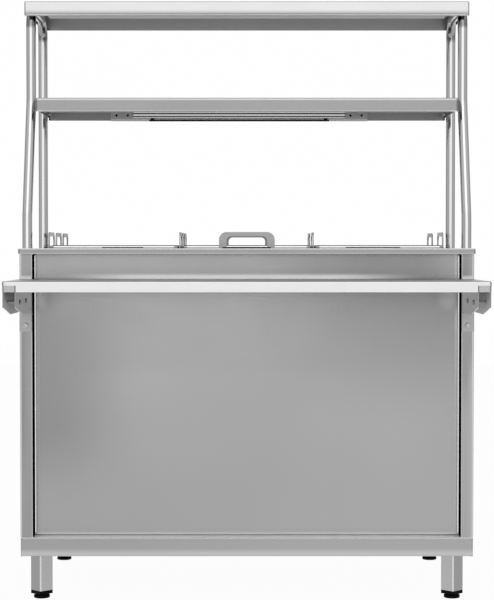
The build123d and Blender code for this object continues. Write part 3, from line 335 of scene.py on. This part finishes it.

# Front panel: a folded stainless sheet set back between the stiles, with painted shade and
# reflections in broad patches, and painted light above the tray, along its sides, beside the tray
# arms and at its foot. A bright steel bead up each side bend is a painted highlight, and a black
# rubber strip, painted shade, lines the stile beside it, with a lip round the stile's edge.
panel_top = 0.90
panel_edge = panel_high.x - 0.003
edge_highlight_softness = 0.012
# Painted shade and reflections in broad patches, and painted light over the tray, along the sides, beside
# the tray arms and at the foot.
panel_middle_shade = [("Z", 0.60, 0.70, 0.06)]
panel_left_shade = [("x", -past_side, -0.50, 0.28), ("Z", 0.46, panel_top, 0.26), ("Z", 0.0, 0.66, 0.16)]
panel_right_shade = [("x", 0.42, past_side, 0.52), ("Z", 0.76, panel_top, 0.36)]
panel_over_tray_shade = ("Z", tray_high.z - 0.006, panel_top, 0.005)
panel_over_tray_right_shade = [("x", 0.33, past_side, 0.38), ("x", 0.00, 0.40, 0.18), panel_over_tray_shade]
panel_tray_reflection = [("x", -0.24, 0.20, 0.26), ("Z", tray_high.z - 0.01, tray_high.z + 0.001, 0.015)]
panel_left_arm_light = [("x", -past_side, -panel_edge, 0.036), ("Z", tray_low.z - 0.03, tray_low.z, 0.03)]
panel_right_arm_light = [("x", panel_high.x - 0.007, past_side, 0.056), ("Z", tray_low.z - 0.028, tray_low.z, 0.036)]
panel_foot_highlight = [("Z", 0.0, shelf_high.z + 0.002, 0.009)]
panel_light_bands = [
    (panel_middle_shade, 0.362, 1.0),
    (panel_left_shade, 0.277, 1.0),
    (panel_right_shade, 0.266, 1.0),
    ([panel_over_tray_shade], 0.345, 1.0),
    (panel_over_tray_right_shade, 0.25, 1.0),
    (panel_tray_reflection, 0.80, 1.0),
    ([("x", -past_side, -panel_edge, edge_highlight_softness)], 0.43, 1.0),
    ([("x", panel_edge, past_side, edge_highlight_softness)], 0.55, 1.0),
    (panel_left_arm_light, 0.65, 1.0),
    (panel_right_arm_light, 0.55, 1.0),
    (panel_foot_highlight, 0.70, 1.0),
]
panel_steel = brushed_sheet("panel_steel", 0.385, "Z", roughness=0.25, cloud=0.05, bands=panel_light_bands)
dress(panel_steel, "front_panel")

bar_tree, bar = new_tree("soft_bar", Bar="Vector", Turn="Vector")
bar_box = {"Size": bar["Bar"], "Vertices X": 18, "Vertices Y": 3, "Vertices Z": 3}
bar_box = bar["Bar"].node("GeometryNodeMeshCube", bar_box)
bar_soft = bar_box.node("GeometryNodeSubdivisionSurface", {"Mesh": bar_box, "Level": 2, "Edge Crease": 0.8})
end_tree(bar_soft.node("GeometryNodeSetShadeSmooth", {"Geometry": bar_soft}), bar, bar["Turn"])

# This black rubber stands in for shade: it lines the stile reveals, fills the gaps under the handles and
# darkens the lids' notches.
black_shade_rubber = moulded_plastic("black_shade_rubber", 0.002, roughness=0.9, gloss=0.0)
upright = (0.0, math.radians(90), 0.0)
# Black lining and lip in the reveal beside the front panel, painted shade.
shade_seal_width = 0.0004
shade_seal_length = 0.696
shade_seal_rise = 0.0012
shade_seal_clearance = 0.0016
shade_seal_x = side_low.x - shade_seal_width / 2
shade_seal_place = ((side_low.y + panel_low.y) / 2, shelf_high.z + shade_seal_rise + shade_seal_length / 2)
shade_seal_bar = (shade_seal_length, panel_low.y - side_low.y - shade_seal_clearance, shade_seal_width)
grow("panel_shade_seals", bar_tree, [(-shade_seal_x, *shade_seal_place), (shade_seal_x, *shade_seal_place)], "counter", "black_plastic",
     Finish=black_shade_rubber, Bar=shade_seal_bar, Turn=upright)
shade_lip_bar = (shade_seal_length, 0.0008, 0.0014)
shade_lip_inset = 0.0003
shade_lip_proud = 0.0002
shade_lip_x = side_low.x + shade_lip_inset
shade_lip_place = (side_low.y - shade_lip_proud, shade_seal_place[1])
grow("panel_shade_seal_lips", bar_tree, [(-shade_lip_x, *shade_lip_place), (shade_lip_x, *shade_lip_place)], "counter", "black_plastic",
     Finish=black_shade_rubber, Bar=shade_lip_bar, Turn=upright)
# A bright, angled steel bead on each side bend of the panel, a painted highlight.
highlight_bead_steel = brushed_sheet("highlight_bead_steel", 0.78, "Z", roughness=0.16, cloud=0.03)
bead_width = 0.003
bead_depth = 0.0012
bead_proud = 0.0003
bead_lean = math.radians(16)
for side, sign in (("left", -1), ("right", 1)):
    bead_place = (sign * (panel_high.x - bead_width / 2), panel_low.y - bead_proud, shade_seal_place[1])
    grow(f"panel_highlight_bead_{side}", bar_tree, [bead_place], "counter", "cabinet_steel", Finish=highlight_bead_steel,
         Bar=(shade_seal_length, bead_depth, bead_width), Turn=(0.0, math.radians(90), -sign * bead_lean))

# Worktop: one folded stainless sheet with the bath opening cut in it, grain along its length.
# Both folds of its front edge carry painted highlights, the upper one the brightest.
worktop_low, worktop_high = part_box("worktop")
edge_front = ("Y", worktop_low.y - 0.01, worktop_low.y + 0.004, 0.002)
# Painted highlights on the two folds of the front edge.
worktop_lower_highlight = [edge_front, ("Z", worktop_low.z - 0.01, worktop_low.z + 0.002, 0.002)]
worktop_upper_highlight = [edge_front, ("Z", worktop_high.z - 0.0016, worktop_high.z + 0.01, 0.001)]
worktop_highlight_bands = [(worktop_lower_highlight, 0.43, 1.0), (worktop_upper_highlight, 0.80, 1.0)]
worktop_steel = brushed_sheet("worktop_steel", 0.35, "X", bands=worktop_highlight_bands)
dress(worktop_steel, "worktop")

# Water bath: a deep welded tank with an outer jacket, and two loose bars that carry the inner
# rims of the containers. The sockets for the gantry hang under the worktop beside it.
bath_steel = brushed_sheet("bath_steel", 0.40, "X", roughness=0.38, cloud=0.14)
dress(bath_steel, "water_bath", "bath_jacket", "container_bars", "gantry_sockets", "drain_pipe")

# Heating elements: metal-sheathed hairpins, tinted by heat, fixed through the tank's wall with
# nuts, and a temperature probe beside them.
heater_steel = brushed_sheet("heater_steel", 0.20, "Y", roughness=0.42, cloud=0.3)
dress(heater_steel, "heating_elements", "temperature_probe")

# Drain: a cast brass ball valve screwed on the bent waste pipe of the bath. A lever in a black
# vinyl sleeve turns its ball.
brass, brass_shader, brass_place = new_finish("valve_brass")
brass_marks = brass_place.node("ShaderNodeTexNoise", {"Vector": brass_place, "Scale": 160.0, "Detail": 4.0})
brass_marks.tint((0.42, 0.27, 0.08, 1.0), (0.66, 0.48, 0.20, 1.0)).feed(brass_shader, "Base Color")
(0.26 + 0.2 * brass_marks).feed(brass_shader, "Roughness")
brass_bump = {"Strength": 0.15, "Distance": 0.0004, "Height": brass_marks}
brass_place.node("ShaderNodeBump", brass_bump).feed(brass_shader, "Normal")
brass_shader.inputs["Metallic"].default_value = 1.0
dress(brass, "drain_valve")
lever_vinyl = moulded_plastic("lever_vinyl", 0.012, roughness=0.4, gloss=0.4)
dress(lever_vinyl, "drain_lever")

# Containers: pressed stainless pans hung by their rims, with upright plate handles welded on; the
# rear handles are painted darker as shade. A black rubber pad in the foot of each handle is painted
# shade, filling the gap between the handle and the worktop.
sizes = ("full", "half_front", "half_rear", "third_front", "third_middle", "third_rear")
container_steel = brushed_sheet("container_steel", 0.48, "Z", roughness=0.28)
past_rear = 0.6
# The rear handles are painted darker as shade.
rear_handle_shade = [("Y", 0.12, past_rear, 0.01)]
handle_shade_bands = [(rear_handle_shade, 0.22, 1.0)]
handle_steel = brushed_sheet("handle_steel", 0.36, "X", cloud=0.04, bands=handle_shade_bands)
handle_thickness = 0.0025
handle_longest = 0.14
# Black pads in the foot of the handles stand in for the shadow under them.
shade_pad_size = (0.1204, 0.0023, 0.0027)
shade_pad_rise = 0.0015
for size in sizes:
    dress(container_steel, f"container_{size}")
    dress(handle_steel, f"handles_{size}")
    low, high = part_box(f"handles_{size}")
    middle = (low + high) / 2
    shade_pad_z = low.z + shade_pad_rise
    if high.x - low.x < handle_longest:
        shade_pad_turn = (0.0, 0.0, 0.0)
        shade_pads = [(middle.x, y, shade_pad_z) for y in (low.y + handle_thickness / 2, high.y - handle_thickness / 2)]
    else:
        shade_pad_turn = (0.0, 0.0, math.radians(90))
        shade_pads = [(x, middle.y, shade_pad_z) for x in (low.x + handle_thickness / 2, high.x - handle_thickness / 2)]
    grow(f"handle_shade_pads_{size}", bar_tree, shade_pads, f"container_{size}", "black_plastic", Finish=black_shade_rubber,
         Bar=shade_pad_size, Turn=shade_pad_turn)

# Lids: pressed covers, polished bright, notched at the handles, with painted shade on the sloped
# border and a painted highlight on the skirt below it. A black silicone cord under the edge seals
# each lid on its container's rim, and its black also stands in for shade in the notches.
cord_inset = 0.0019
cord_radius = 0.00105
cord_rise = 0.0001
lid_corner = 0.014
lid_border = 0.0067
lid_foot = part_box("lid_full")[1].z - lid_border
# Painted shade on the sloped border and a painted highlight on the skirt below it.
lid_slope_shade = [("Z", lid_foot + 0.0048, lid_foot + 0.0065, 0.0002)]
lid_skirt_highlight = [("Z", lid_foot + 0.0024, lid_foot + 0.0047, 0.0003)]
lid_light_bands = [(lid_slope_shade, 0.03, 0.0), (lid_skirt_highlight, 0.90, 1.0)]
lid_steel = brushed_sheet("lid_steel", 0.50, "X", roughness=0.24, cloud=0.03, gloss=0.0, bands=lid_light_bands)
for size in sizes:
    dress(lid_steel, f"lid_{size}")
    low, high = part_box(f"lid_{size}")
    middle = (low + high) / 2
    cord_z = high.z - lid_border + cord_radius + cord_rise
    grow(f"lid_seal_and_shade_{size}", ring_tree, [(middle.x, middle.y, cord_z)], f"lid_{size}",
         "black_plastic", Finish=black_shade_rubber, Width=high.x - low.x - 2 * cord_inset,
         Depth=high.y - low.y - 2 * cord_inset, Corner=lid_corner - cord_inset, Radius=cord_radius,
         Turn=(0.0, 0.0, 0.0))

# Gantry: two bent frames of polished round tube, pushed into sockets under the worktop. The bends
# at the top are painted darker, as shade and dark reflections.
past_top = 1.6
# Painted shade and dark reflections on the top bends, the rear tubes' starting lower.
rear_bend_shade = [("Z", 1.430, past_top, 0.012), ("Y", 0.02, past_rear, 0.06)]
bend_shade = [("Z", 1.436, past_top, 0.012)]
tube_shade_bands = [(rear_bend_shade, 0.42, 1.0), (bend_shade, 0.32, 1.0)]
tube_steel = brushed_sheet("tube_steel", 0.72, "Z", roughness=0.09, cloud=0.03, bands=tube_shade_bands)
dress(tube_steel, "gantry_frame_left", "gantry_frame_right")

# Upper shelf: a folded stainless sheet on top of the tubes. Its front edge carries a painted
# highlight that fades to painted shade towards its foot, a painted highlight runs along the round
# bend there, and the lip and the stiffener behind that bend are painted darker as shade.
upper_low, upper_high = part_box("upper_shelf")
edge_y = upper_low.y
foot_z = upper_low.z
under_edge = 1.4
# Painted highlights on the front edge and round bend, and painted shade at its top line, its foot, the lip
# and the stiffener.
upper_edge_highlight = [("Y", edge_y - 0.01, edge_y + 0.0045, 0.002)]
upper_edge_foot_shade = [("Y", edge_y - 0.01, edge_y + 0.0025, 0.001), ("Z", under_edge, foot_z + 0.003, 0.014)]
upper_bend_highlight = [("Y", edge_y + 0.0020, edge_y + 0.0052, 0.0004), ("Z", under_edge, foot_z + 0.0034, 0.0004)]
upper_lip_shade = [("Y", edge_y + 0.0058, edge_y + 0.0105, 0.0005), ("Z", under_edge, foot_z + 0.003, 0.001)]
upper_stiffener_shade = [("Y", edge_y + 0.0115, edge_y + 0.061, 0.001), ("Z", under_edge, foot_z + 0.002, 0.001)]
upper_top_shade = [("Y", edge_y - 0.01, edge_y + 0.002, 0.001), ("Z", upper_high.z - 0.002, past_top, 0.001)]
upper_light_bands = [
    (upper_edge_highlight, 0.72, 1.0),
    (upper_edge_foot_shade, 0.44, 1.0),
    (upper_bend_highlight, 0.98, 0.0),
    (upper_lip_shade, 0.40, 0.0),
    (upper_stiffener_shade, 0.215, 1.0),
    (upper_top_shade, 0.46, 1.0),
]
upper_steel = brushed_sheet("upper_steel", 0.46, "X", bands=upper_light_bands)
dress(upper_steel, "upper_shelf")

# Middle shelf: a folded stainless sheet bolted between the tubes, grain lengthwise. Painted
# highlights run along its two front bends.
middle_low, middle_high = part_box("middle_shelf")
middle_front = ("Y", middle_low.y - 0.01, middle_low.y + 0.006, 0.002)
# Painted highlights along the two front bends.
middle_top_highlight = [middle_front, ("Z", middle_high.z - 0.0045, middle_high.z + 0.01, 0.003)]
middle_foot_highlight = [middle_front, ("Z", middle_low.z - 0.01, middle_low.z + 0.0022, 0.001)]
middle_highlight_bands = [(middle_top_highlight, 0.58, 1.0), (middle_foot_highlight, 0.60, 1.0)]
middle_steel = brushed_sheet("middle_steel", 0.345, "X", bands=middle_highlight_bands)
bolt_steel = brushed_sheet("bolt_steel", 0.5, "Z", roughness=0.3, cloud=0.1)
dress(middle_steel, "middle_shelf")
dress(bolt_steel, "shelf_bolts")

# Lamp: a folded aluminium trough on two plated brackets with black rivets, a quartz tube with a
# wound wire inside it in ceramic sockets, and a black guard bar in two clips.
lamp_low, lamp_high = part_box("lamp_reflector")
# The grooves in the trough's front are painted dark as shade.
groove_depth = ("Y", lamp_low.y + 0.0006, lamp_low.y + 0.003, 0.0003)
reflector_groove_shade = [([groove_depth, ("Z", lamp_low.z, lamp_low.z + 0.0135, 0.0004)], 0.12, 0.3)]
reflector_alloy = brushed_sheet("reflector_alloy", 0.86, "X", cloud=0.03, metal=0.3, bands=reflector_groove_shade)
dress(reflector_alloy, "lamp_reflector")
rib_alloy = brushed_sheet("rib_alloy", 0.56, "X", roughness=0.2, cloud=0.03)
rib_lean = (math.radians(13), 0.0, 0.0)
rib_length = lamp_high.x - lamp_low.x - 0.0004
rib_depth = 0.0014
for name, height, rise in (("low", 0.0022, 0.0013), ("middle", 0.0048, 0.0077), ("high", 0.0040, 0.0152)):
    rib_place = ((lamp_low.x + lamp_high.x) / 2, lamp_low.y + 0.0002, lamp_low.z + rise)
    grow(f"lamp_rib_{name}", bar_tree, [rib_place], "counter", "lamp_metal", Finish=rib_alloy,
         Bar=(rib_length, rib_depth, height), Turn=rib_lean)
holder_low, holder_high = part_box("lamp_brackets")
# A painted highlight on the brackets' lower lips.
bracket_lip_highlight = ([("Z", holder_low.z - 0.01, holder_low.z + 0.0058, 0.0003)], 0.70, 0.3)
bracket_zinc = brushed_sheet("bracket_zinc", 0.48, "X", cloud=0.1, metal=0.3, bands=[bracket_lip_highlight])
dress(bracket_zinc, "lamp_brackets")

rivet_tree, rivet = new_tree("round_rivet", Radius="Float")
rivet_head = {"Segments": 16, "Rings": 8, "Radius": rivet["Radius"]}
rivet_head = rivet["Radius"].node("GeometryNodeMeshUVSphere", rivet_head)
end_tree(rivet_head.node("GeometryNodeSetShadeSmooth", {"Geometry": rivet_head}), rivet)
plate_half = 0.029
rivet_half = 0.0145
rivet_radius = 0.0032
rivet_sink = 0.0008
rivet_z = holder_low.z + 0.0146
rivet_places = [
    (middle + side * rivet_half, holder_low.y + rivet_sink, rivet_z)
    for middle in (holder_low.x + plate_half, holder_high.x - plate_half)
    for side in (-1, 1)
]
grow("bracket_rivets", rivet_tree, rivet_places, "counter", "black_plastic", Finish=black_plastic,
     Radius=rivet_radius)

guard_paint = moulded_plastic("guard_paint", 0.003, roughness=0.5)
dress(guard_paint, "lamp_guard")
guard_low, guard_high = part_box("lamp_guard")
clip_size = (0.009, 0.008, 0.0085)
clip_inset = 0.008
clip_back = 0.0022
clip_places = [
    (x, guard_low.y + clip_size[1] / 2 + clip_back, guard_low.z + clip_size[2] / 2)
    for x in (guard_low.x + clip_inset, guard_high.x - clip_inset)
]
grow("guard_clips", bar_tree, clip_places, "counter", "guard_black", Finish=guard_paint, Bar=clip_size,
     Turn=(0.0, 0.0, 0.0))
ceramic, ceramic_shader, ceramic_place = new_finish("lamp_ceramic")
ceramic_specks = {"Vector": ceramic_place, "Scale": 400.0, "Detail": 2.0}
ceramic_specks = ceramic_place.node("ShaderNodeTexNoise", ceramic_specks)
ceramic_specks.tint((0.70, 0.69, 0.65, 1.0), (0.82, 0.81, 0.77, 1.0)).feed(ceramic_shader, "Base Color")
(0.45 + 0.2 * ceramic_specks).feed(ceramic_shader, "Roughness")
dress(ceramic, "lamp_sockets")
quartz, quartz_shader, quartz_place = new_finish("lamp_quartz")
quartz_haze = quartz_place.node("ShaderNodeTexNoise", {"Vector": quartz_place, "Scale": 40.0, "Detail": 2.0})
quartz_haze.tint(grey(0.80), grey(0.92)).feed(quartz_shader, "Base Color")
(0.22 + 0.2 * quartz_haze).feed(quartz_shader, "Alpha")
quartz_shader.inputs["Roughness"].default_value = 0.08
dress(quartz, "lamp_tube")
quartz_low, quartz_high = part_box("lamp_tube")
quartz_middle = (quartz_low + quartz_high) / 2
coil_margin = 0.02
coil_turns = 80.0
coil_radius = 0.0028
coil_thickness = 0.0004
coil_length = quartz_high.x - quartz_low.x - 2 * coil_margin
coil_start = (quartz_low.x + coil_margin, quartz_middle.y, quartz_middle.z)
grow("lamp_coil", coil_tree, [coil_start], "counter", "heater_steel", Finish=heater_steel,
     Turns=coil_turns, Radius=coil_radius, Length=coil_length, Wire=coil_thickness,
     Turn=(0.0, math.radians(90), 0.0))

# Tray shelf: a folded sheet with a painted highlight on its front edge, notched over two runners
# that lie on welded arms, whose steel is lightened to lift the shade inside them. Cross bolts, with
# painted shade at the foot of their heads, go through the arms, and bright bolts hold the arms to the
# cabinet.
# A painted highlight on the tray's front face.
tray_front_highlight = [("Y", tray_low.y - 0.01, tray_low.y + 0.0004, 0.0005)]
tray_steel = brushed_sheet("tray_steel", 0.42, "X", bands=[(tray_front_highlight, 0.76, 1.0)])
arm_start = 0.4
arm_width = 0.0304
# The arms are a light, mostly non-metal copy of the steel that lifts the shade inside them; the right arm is
# painted lighter still, and the base plates and front edges are painted darker as shade.
right_arm_light = [("x", arm_start, past_side, 0.01)]
base_plate_shade = [("Y", side_low.y - 0.004, side_low.y + 0.01, 0.0005), ("Z", 0.60, 0.716, 0.001)]
arm_edge_shade = [("Y", tray_low.y - 0.01, tray_low.y + 0.004, 0.0005)]
arm_light_bands = [(right_arm_light, 0.90, 0.1), (base_plate_shade, 0.39, 1.0), (arm_edge_shade, 0.30, 0.6)]
arm_steel_lightened = brushed_sheet("arm_steel_lightened", 0.80, "Y", cloud=0.04, metal=0.1, bands=arm_light_bands)
runner_steel = brushed_sheet("runner_steel", 0.48, "Y")
arm_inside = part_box("tray_brackets")[1].x - arm_width
# Tone bands darken the cross bolts' heads and shanks and paint deep shade at the foot of their heads.
bolt_rows = ("Y", tray_low.y, side_low.y - 0.02, 0.001)
bolt_heads = [bolt_rows, ("X", arm_start, arm_inside - 0.0016, 0.0004)]
bolt_foot_shade = [bolt_rows, ("X", arm_inside - 0.0012, arm_inside, 0.0004)]
bolt_shanks = [bolt_rows, ("X", arm_inside + 0.0004, past_side, 0.0004)]
bolt_shade_bands = [(bolt_heads, 0.40, 0.6), (bolt_foot_shade, 0.03, 0.5), (bolt_shanks, 0.40, 0.1)]
tray_bolt_steel = brushed_sheet("tray_bolt_steel", 0.46, "Z", roughness=0.3, bands=bolt_shade_bands)
dress(tray_steel, "tray_shelf")
dress(arm_steel_lightened, "tray_brackets")
dress(runner_steel, "tray_runners")
dress(tray_bolt_steel, "tray_bolts")

# Control fascia: a folded panel across the service side, held by slotted screws, with a
# thermostat behind it. A scale of ticks and plain numbers is printed round the knob.
fascia_steel = brushed_sheet("fascia_steel", 0.36, "X")
dress(fascia_steel, "control_fascia")
dress(black_plastic, "thermostat")

screw_tree, screw = new_tree("slotted_screw", Radius="Float", Height="Float", Turn="Vector")
screw_head = {
    "Vertices": 16,
    "Radius Top": screw["Radius"] * 0.62,
    "Radius Bottom": screw["Radius"],
    "Depth": screw["Height"],
}
screw_head = screw["Radius"].node("GeometryNodeMeshCone", screw_head)
screw_round = {"Mesh": screw_head, "Level": 2, "Edge Crease": 0.6}
screw_head = screw_head.node("GeometryNodeSubdivisionSurface", screw_round)
slot_size = {"X": screw["Radius"] * 2.4, "Y": screw["Radius"] * 0.24, "Z": screw["Height"] * 0.9}
slot_size = screw_head.node("ShaderNodeCombineXYZ", slot_size)
slot_block = screw_head.node("GeometryNodeMeshCube", {"Size": slot_size})
slot_lift = screw_head.node("ShaderNodeCombineXYZ", {"Z": screw["Height"]})
slot_block = screw_head.node("GeometryNodeTransform", {"Geometry": slot_block, "Translation": slot_lift})
slotted = {"Mesh 1": screw_head, "Mesh 2": slot_block}
end_tree(screw_head.node("GeometryNodeMeshBoolean", slotted, operation="DIFFERENCE"), screw, screw["Turn"])

fascia_low, fascia_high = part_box("control_fascia")
screw_margin = 0.02
screw_between = -0.20
screw_sink = 0.0001
screw_radius = 0.0042
screw_height = 0.0024
slot_lean = math.radians(20)
screw_rows = (fascia_low.z + screw_margin, fascia_high.z - screw_margin)
screw_columns = (fascia_low.x + screw_margin, screw_between, fascia_high.x - screw_margin)
screw_places = [(x, fascia_high.y - screw_sink, z) for x in screw_columns for z in screw_rows]
grow("fascia_screws", screw_tree, screw_places, "counter", "fastener_steel", Finish=bolt_steel,
     Radius=screw_radius, Height=screw_height, Turn=(math.radians(-90), slot_lean, 0.0))

fan_tree, fan = new_tree("bars_in_a_circle", Count="Int", Step="Float", Radius="Float", Bar="Vector")
fan_line = fan["Count"].node("GeometryNodeMeshLine", {"Count": fan["Count"], "Offset": (0.0, 0.0, 0.0)})
fan_index = fan_line.node("GeometryNodeInputIndex", {})
fan_angle = fan_index * fan["Step"]
fan_out = {
    "X": 0.0 - fan_angle.math("SINE", fan_angle) * fan["Radius"],
    "Z": fan_angle.math("COSINE", fan_angle) * fan["Radius"],
}
fan_out = fan_line.node("ShaderNodeCombineXYZ", fan_out)
fan_points = fan_line.node("GeometryNodeSetPosition", {"Geometry": fan_line, "Position": fan_out})
fan_turn = fan_line.node("ShaderNodeCombineXYZ", {"Y": 0.0 - fan_angle})
fan_bar = fan_line.node("GeometryNodeMeshCube", {"Size": fan["Bar"]})
fan_bars = {"Points": fan_points, "Instance": fan_bar, "Rotation": fan_turn}
end_tree(fan_line.node("GeometryNodeInstanceOnPoints", fan_bars), fan)

print_ink = moulded_plastic("print_ink", 0.03, roughness=0.5)
knob_low, knob_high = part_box("thermostat_knob")
knob_x = (knob_low.x + knob_high.x) / 2
knob_z = (knob_low.z + knob_high.z) / 2
ink_height = 0.0001
dial_face = (knob_x, fascia_high.y + ink_height / 2, knob_z)
tick_count = 28
tick_step = math.radians(10)
tick_radius = 0.0275
tick_bar = (0.0007, ink_height, 0.0035)
grow("dial_ticks", fan_tree, [dial_face], "counter", "black_plastic", Finish=print_ink,
     Count=tick_count, Step=tick_step, Radius=tick_radius, Bar=tick_bar)
number_radius = 0.0345
number_height = 0.0062
number_degrees = 30
numbers = bmesh.new()
for count in range(10):
    letter = bpy.data.curves.new(f"dial_{count}", "FONT")
    letter.body = str(count)
    letter.size = number_height
    letter.align_x = "CENTER"
    letter.align_y = "CENTER"
    holder = bpy.data.objects.new(f"dial_{count}", letter)
    bpy.context.scene.collection.objects.link(holder)
    bpy.context.view_layer.update()
    flat = bpy.data.meshes.new_from_object(holder.evaluated_get(bpy.context.evaluated_depsgraph_get()))
    angle = math.radians(number_degrees * count)
    for vertex in flat.vertices:
        across, up, _ = vertex.co
        x = knob_x - number_radius * math.sin(angle) - across
        vertex.co = (x, fascia_high.y + ink_height, knob_z + number_radius * math.cos(angle) + up)
    numbers.from_mesh(flat)
    bpy.data.objects.remove(holder)
number_mesh = bpy.data.meshes.new("dial_numbers")
numbers.to_mesh(number_mesh)
number_mesh.materials.append(print_ink)
dial_numbers = bpy.data.objects.new("dial_numbers", number_mesh)
bpy.context.scene.collection.objects.link(dial_numbers)
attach(dial_numbers, "counter")

# Thermostat knob: a fluted black moulding pushed on the thermostat's shaft, with a white line
# filled into its groove as a pointer.
dress(black_plastic, "thermostat_knob")
white_paint = moulded_plastic("white_paint", 0.75, roughness=0.5)
line_bar = (0.0155, 0.001, 0.001)
line_sink = 0.0006
line_rise = 0.0085
line_place = (knob_x, knob_high.y - line_sink, knob_z + line_rise)
grow("knob_line", bar_tree, [line_place], "thermostat_knob", "switch_plastic", Finish=white_paint,
     Bar=line_bar, Turn=upright)

# Rocker switches: glossy black rockers in framed housings, with a white bar and ring printed on
# their two faces for on and off.
switch_plastic = moulded_plastic("switch_plastic", 0.012, roughness=0.2, gloss=0.5)
dress(black_plastic, "switch_housings")
rocker_tilt = math.radians(10)
rocker_lean = Vector((0.0, math.cos(rocker_tilt), math.sin(rocker_tilt)))
rocker_up = Vector((0.0, -math.sin(rocker_tilt), math.cos(rocker_tilt)))
face_out = 0.00317
face_up = 0.00575
face_slope = 1.8 / 11.5
pivot_out = 0.001
on_bar = (0.0009, 0.005, 0.00012)
off_width = 0.0052
off_corner = 0.00259
off_radius = 0.0003
for switch in ("heat_switch", "light_switch"):
    dress(switch_plastic, switch)
    low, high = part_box(switch)
    pivot = Vector(((low.x + high.x) / 2, fascia_high.y + pivot_out, knob_z))
    on_face = pivot + rocker_lean * face_out + rocker_up * face_up
    off_face = pivot + rocker_lean * face_out - rocker_up * face_up
    on_turn = (rocker_lean - rocker_up * face_slope).to_track_quat("Z", "Y").to_euler()
    off_turn = (rocker_lean + rocker_up * face_slope).to_track_quat("Z", "Y").to_euler()
    grow(f"{switch}_on_mark", bar_tree, [on_face], switch, "switch_plastic", Finish=white_paint,
         Bar=on_bar, Turn=tuple(on_turn))
    grow(f"{switch}_off_mark", ring_tree, [off_face], switch, "switch_plastic", Finish=white_paint,
         Width=off_width, Depth=off_width, Corner=off_corner, Radius=off_radius, Turn=tuple(off_turn))

# Pilot lamps and cable gland: amber lenses pushed into the fascia, and a ribbed nylon gland for
# the supply cable.
lens, lens_shader, lens_place = new_finish("pilot_lens")
lens_haze = lens_place.node("ShaderNodeTexNoise", {"Vector": lens_place, "Scale": 300.0, "Detail": 1.0})
lens_haze.tint((0.55, 0.16, 0.01, 1.0), (0.80, 0.30, 0.03, 1.0)).feed(lens_shader, "Base Color")
(0.08 + 0.12 * lens_haze).feed(lens_shader, "Roughness")
dress(lens, "pilot_lamps")
dress(black_plastic, "cable_gland")
gland_low, gland_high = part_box("cable_gland")
grip_back = 0.0075
grip_count = 20
grip_step = math.radians(18)
grip_radius = 0.0105
grip_bar = (0.0013, 0.008, 0.0012)
grip_place = ((gland_low.x + gland_high.x) / 2, gland_high.y - grip_back, (gland_low.z + gland_high.z) / 2)
grow("gland_ribs", fan_tree, [grip_place], "counter", "black_plastic", Finish=black_plastic,
     Count=grip_count, Step=grip_step, Radius=grip_radius, Bar=grip_bar)

# Studio: a white floor that keeps a faint shadow, and soft white surroundings that are brighter
# in front and behind, and darker to the sides, so that round tubes show dark flanks.
floor_half = 9.0
floor_mesh = bpy.data.meshes.new("floor")
floor_corners = [(x * floor_half, y * floor_half, 0.0) for x, y in ((-1, -1), (1, -1), (1, 1), (-1, 1))]
floor_mesh.from_pydata(floor_corners, [], [(0, 1, 2, 3)])
floor = bpy.data.objects.new("floor", floor_mesh)
bpy.context.scene.collection.objects.link(floor)
white = 0.995
floor_glow = 0.97
floor_white = bpy.data.materials.new("floor_white")
floor_white.use_nodes = True
floor_tree = floor_white.node_tree
floor_tree.nodes.clear()
light_path = floor_tree.nodes.new("ShaderNodeLightPath")
seen = Wire(floor_tree, light_path.outputs["Is Camera Ray"])
seen = seen + Wire(floor_tree, light_path.outputs["Is Glossy Ray"])
seen = (seen + Wire(floor_tree, light_path.outputs["Is Transmission Ray"])) * floor_glow
paint = seen.node("ShaderNodeBsdfDiffuse", {"Color": grey(0.8)})
glow = seen.node("ShaderNodeEmission", {"Color": grey(white), "Strength": 1.0})
blend = seen.node("ShaderNodeMixShader", {0: seen, 1: paint, 2: glow})
blend.feed(floor_tree.nodes.new("ShaderNodeOutputMaterial"), "Surface")
floor_mesh.materials.append(floor_white)

world = bpy.data.worlds.new("studio")
bpy.context.scene.world = world
world.use_nodes = True
sky_tree = world.node_tree
sky_tree.nodes.clear()
facing = Wire(sky_tree, sky_tree.nodes.new("ShaderNodeTexCoord").outputs["Generated"])
level = facing.node("ShaderNodeVectorMath", {0: facing, 1: (1.0, 1.0, 0.0)}, operation="MULTIPLY")
level = facing.node("ShaderNodeVectorMath", {0: level}, operation="NORMALIZE")
height = facing.node("ShaderNodeSeparateXYZ", {"Vector": facing}, output=2)


def soft_box(azimuth, half_width, softness):
    """A tall light seen in this direction; azimuth 0 is the camera's side."""
    towards = (math.sin(math.radians(azimuth)), -math.cos(math.radians(azimuth)), 0.0)
    near = level.node("ShaderNodeVectorMath", {0: level, 1: towards}, output=1, operation="DOT_PRODUCT")
    outer = math.cos(math.radians(half_width + softness))
    inner = math.cos(math.radians(half_width))
    return near.step(outer, inner)


all_round = 0.5
front_light = 0.78
rear_light = 0.42
ceiling_light = 0.2
flank_shade = 0.14
surroundings = all_round + front_light * soft_box(0, 18, 16) + rear_light * soft_box(180, 24, 20)
surroundings = surroundings + ceiling_light * height.step(0.3, 0.7)
flanks = soft_box(122, 12, 18) + soft_box(-122, 12, 18)
surroundings = surroundings - flank_shade * flanks
light_path = sky_tree.nodes.new("ShaderNodeLightPath")
camera_ray = Wire(sky_tree, light_path.outputs["Is Camera Ray"])
strength = surroundings * (1.0 - camera_ray) + camera_ray * white
sky = strength.node("ShaderNodeBackground", {"Color": grey(1.0), "Strength": strength})
sky.feed(sky_tree.nodes.new("ShaderNodeOutputWorld"), "Surface")

camera_pitch = 1.59
camera_data = bpy.data.cameras.new("camera")
camera_data.lens = 111.06
camera_data.sensor_width = 36.0
camera = bpy.data.objects.new("camera", camera_data)
camera.location = (0.0004, -4.730, 0.8722)
camera.rotation_euler = (math.radians(90.0 - camera_pitch), 0.0, 0.0)
bpy.context.scene.collection.objects.link(camera)
bpy.context.scene.camera = camera
bpy.context.scene.view_settings.view_transform = "Standard"
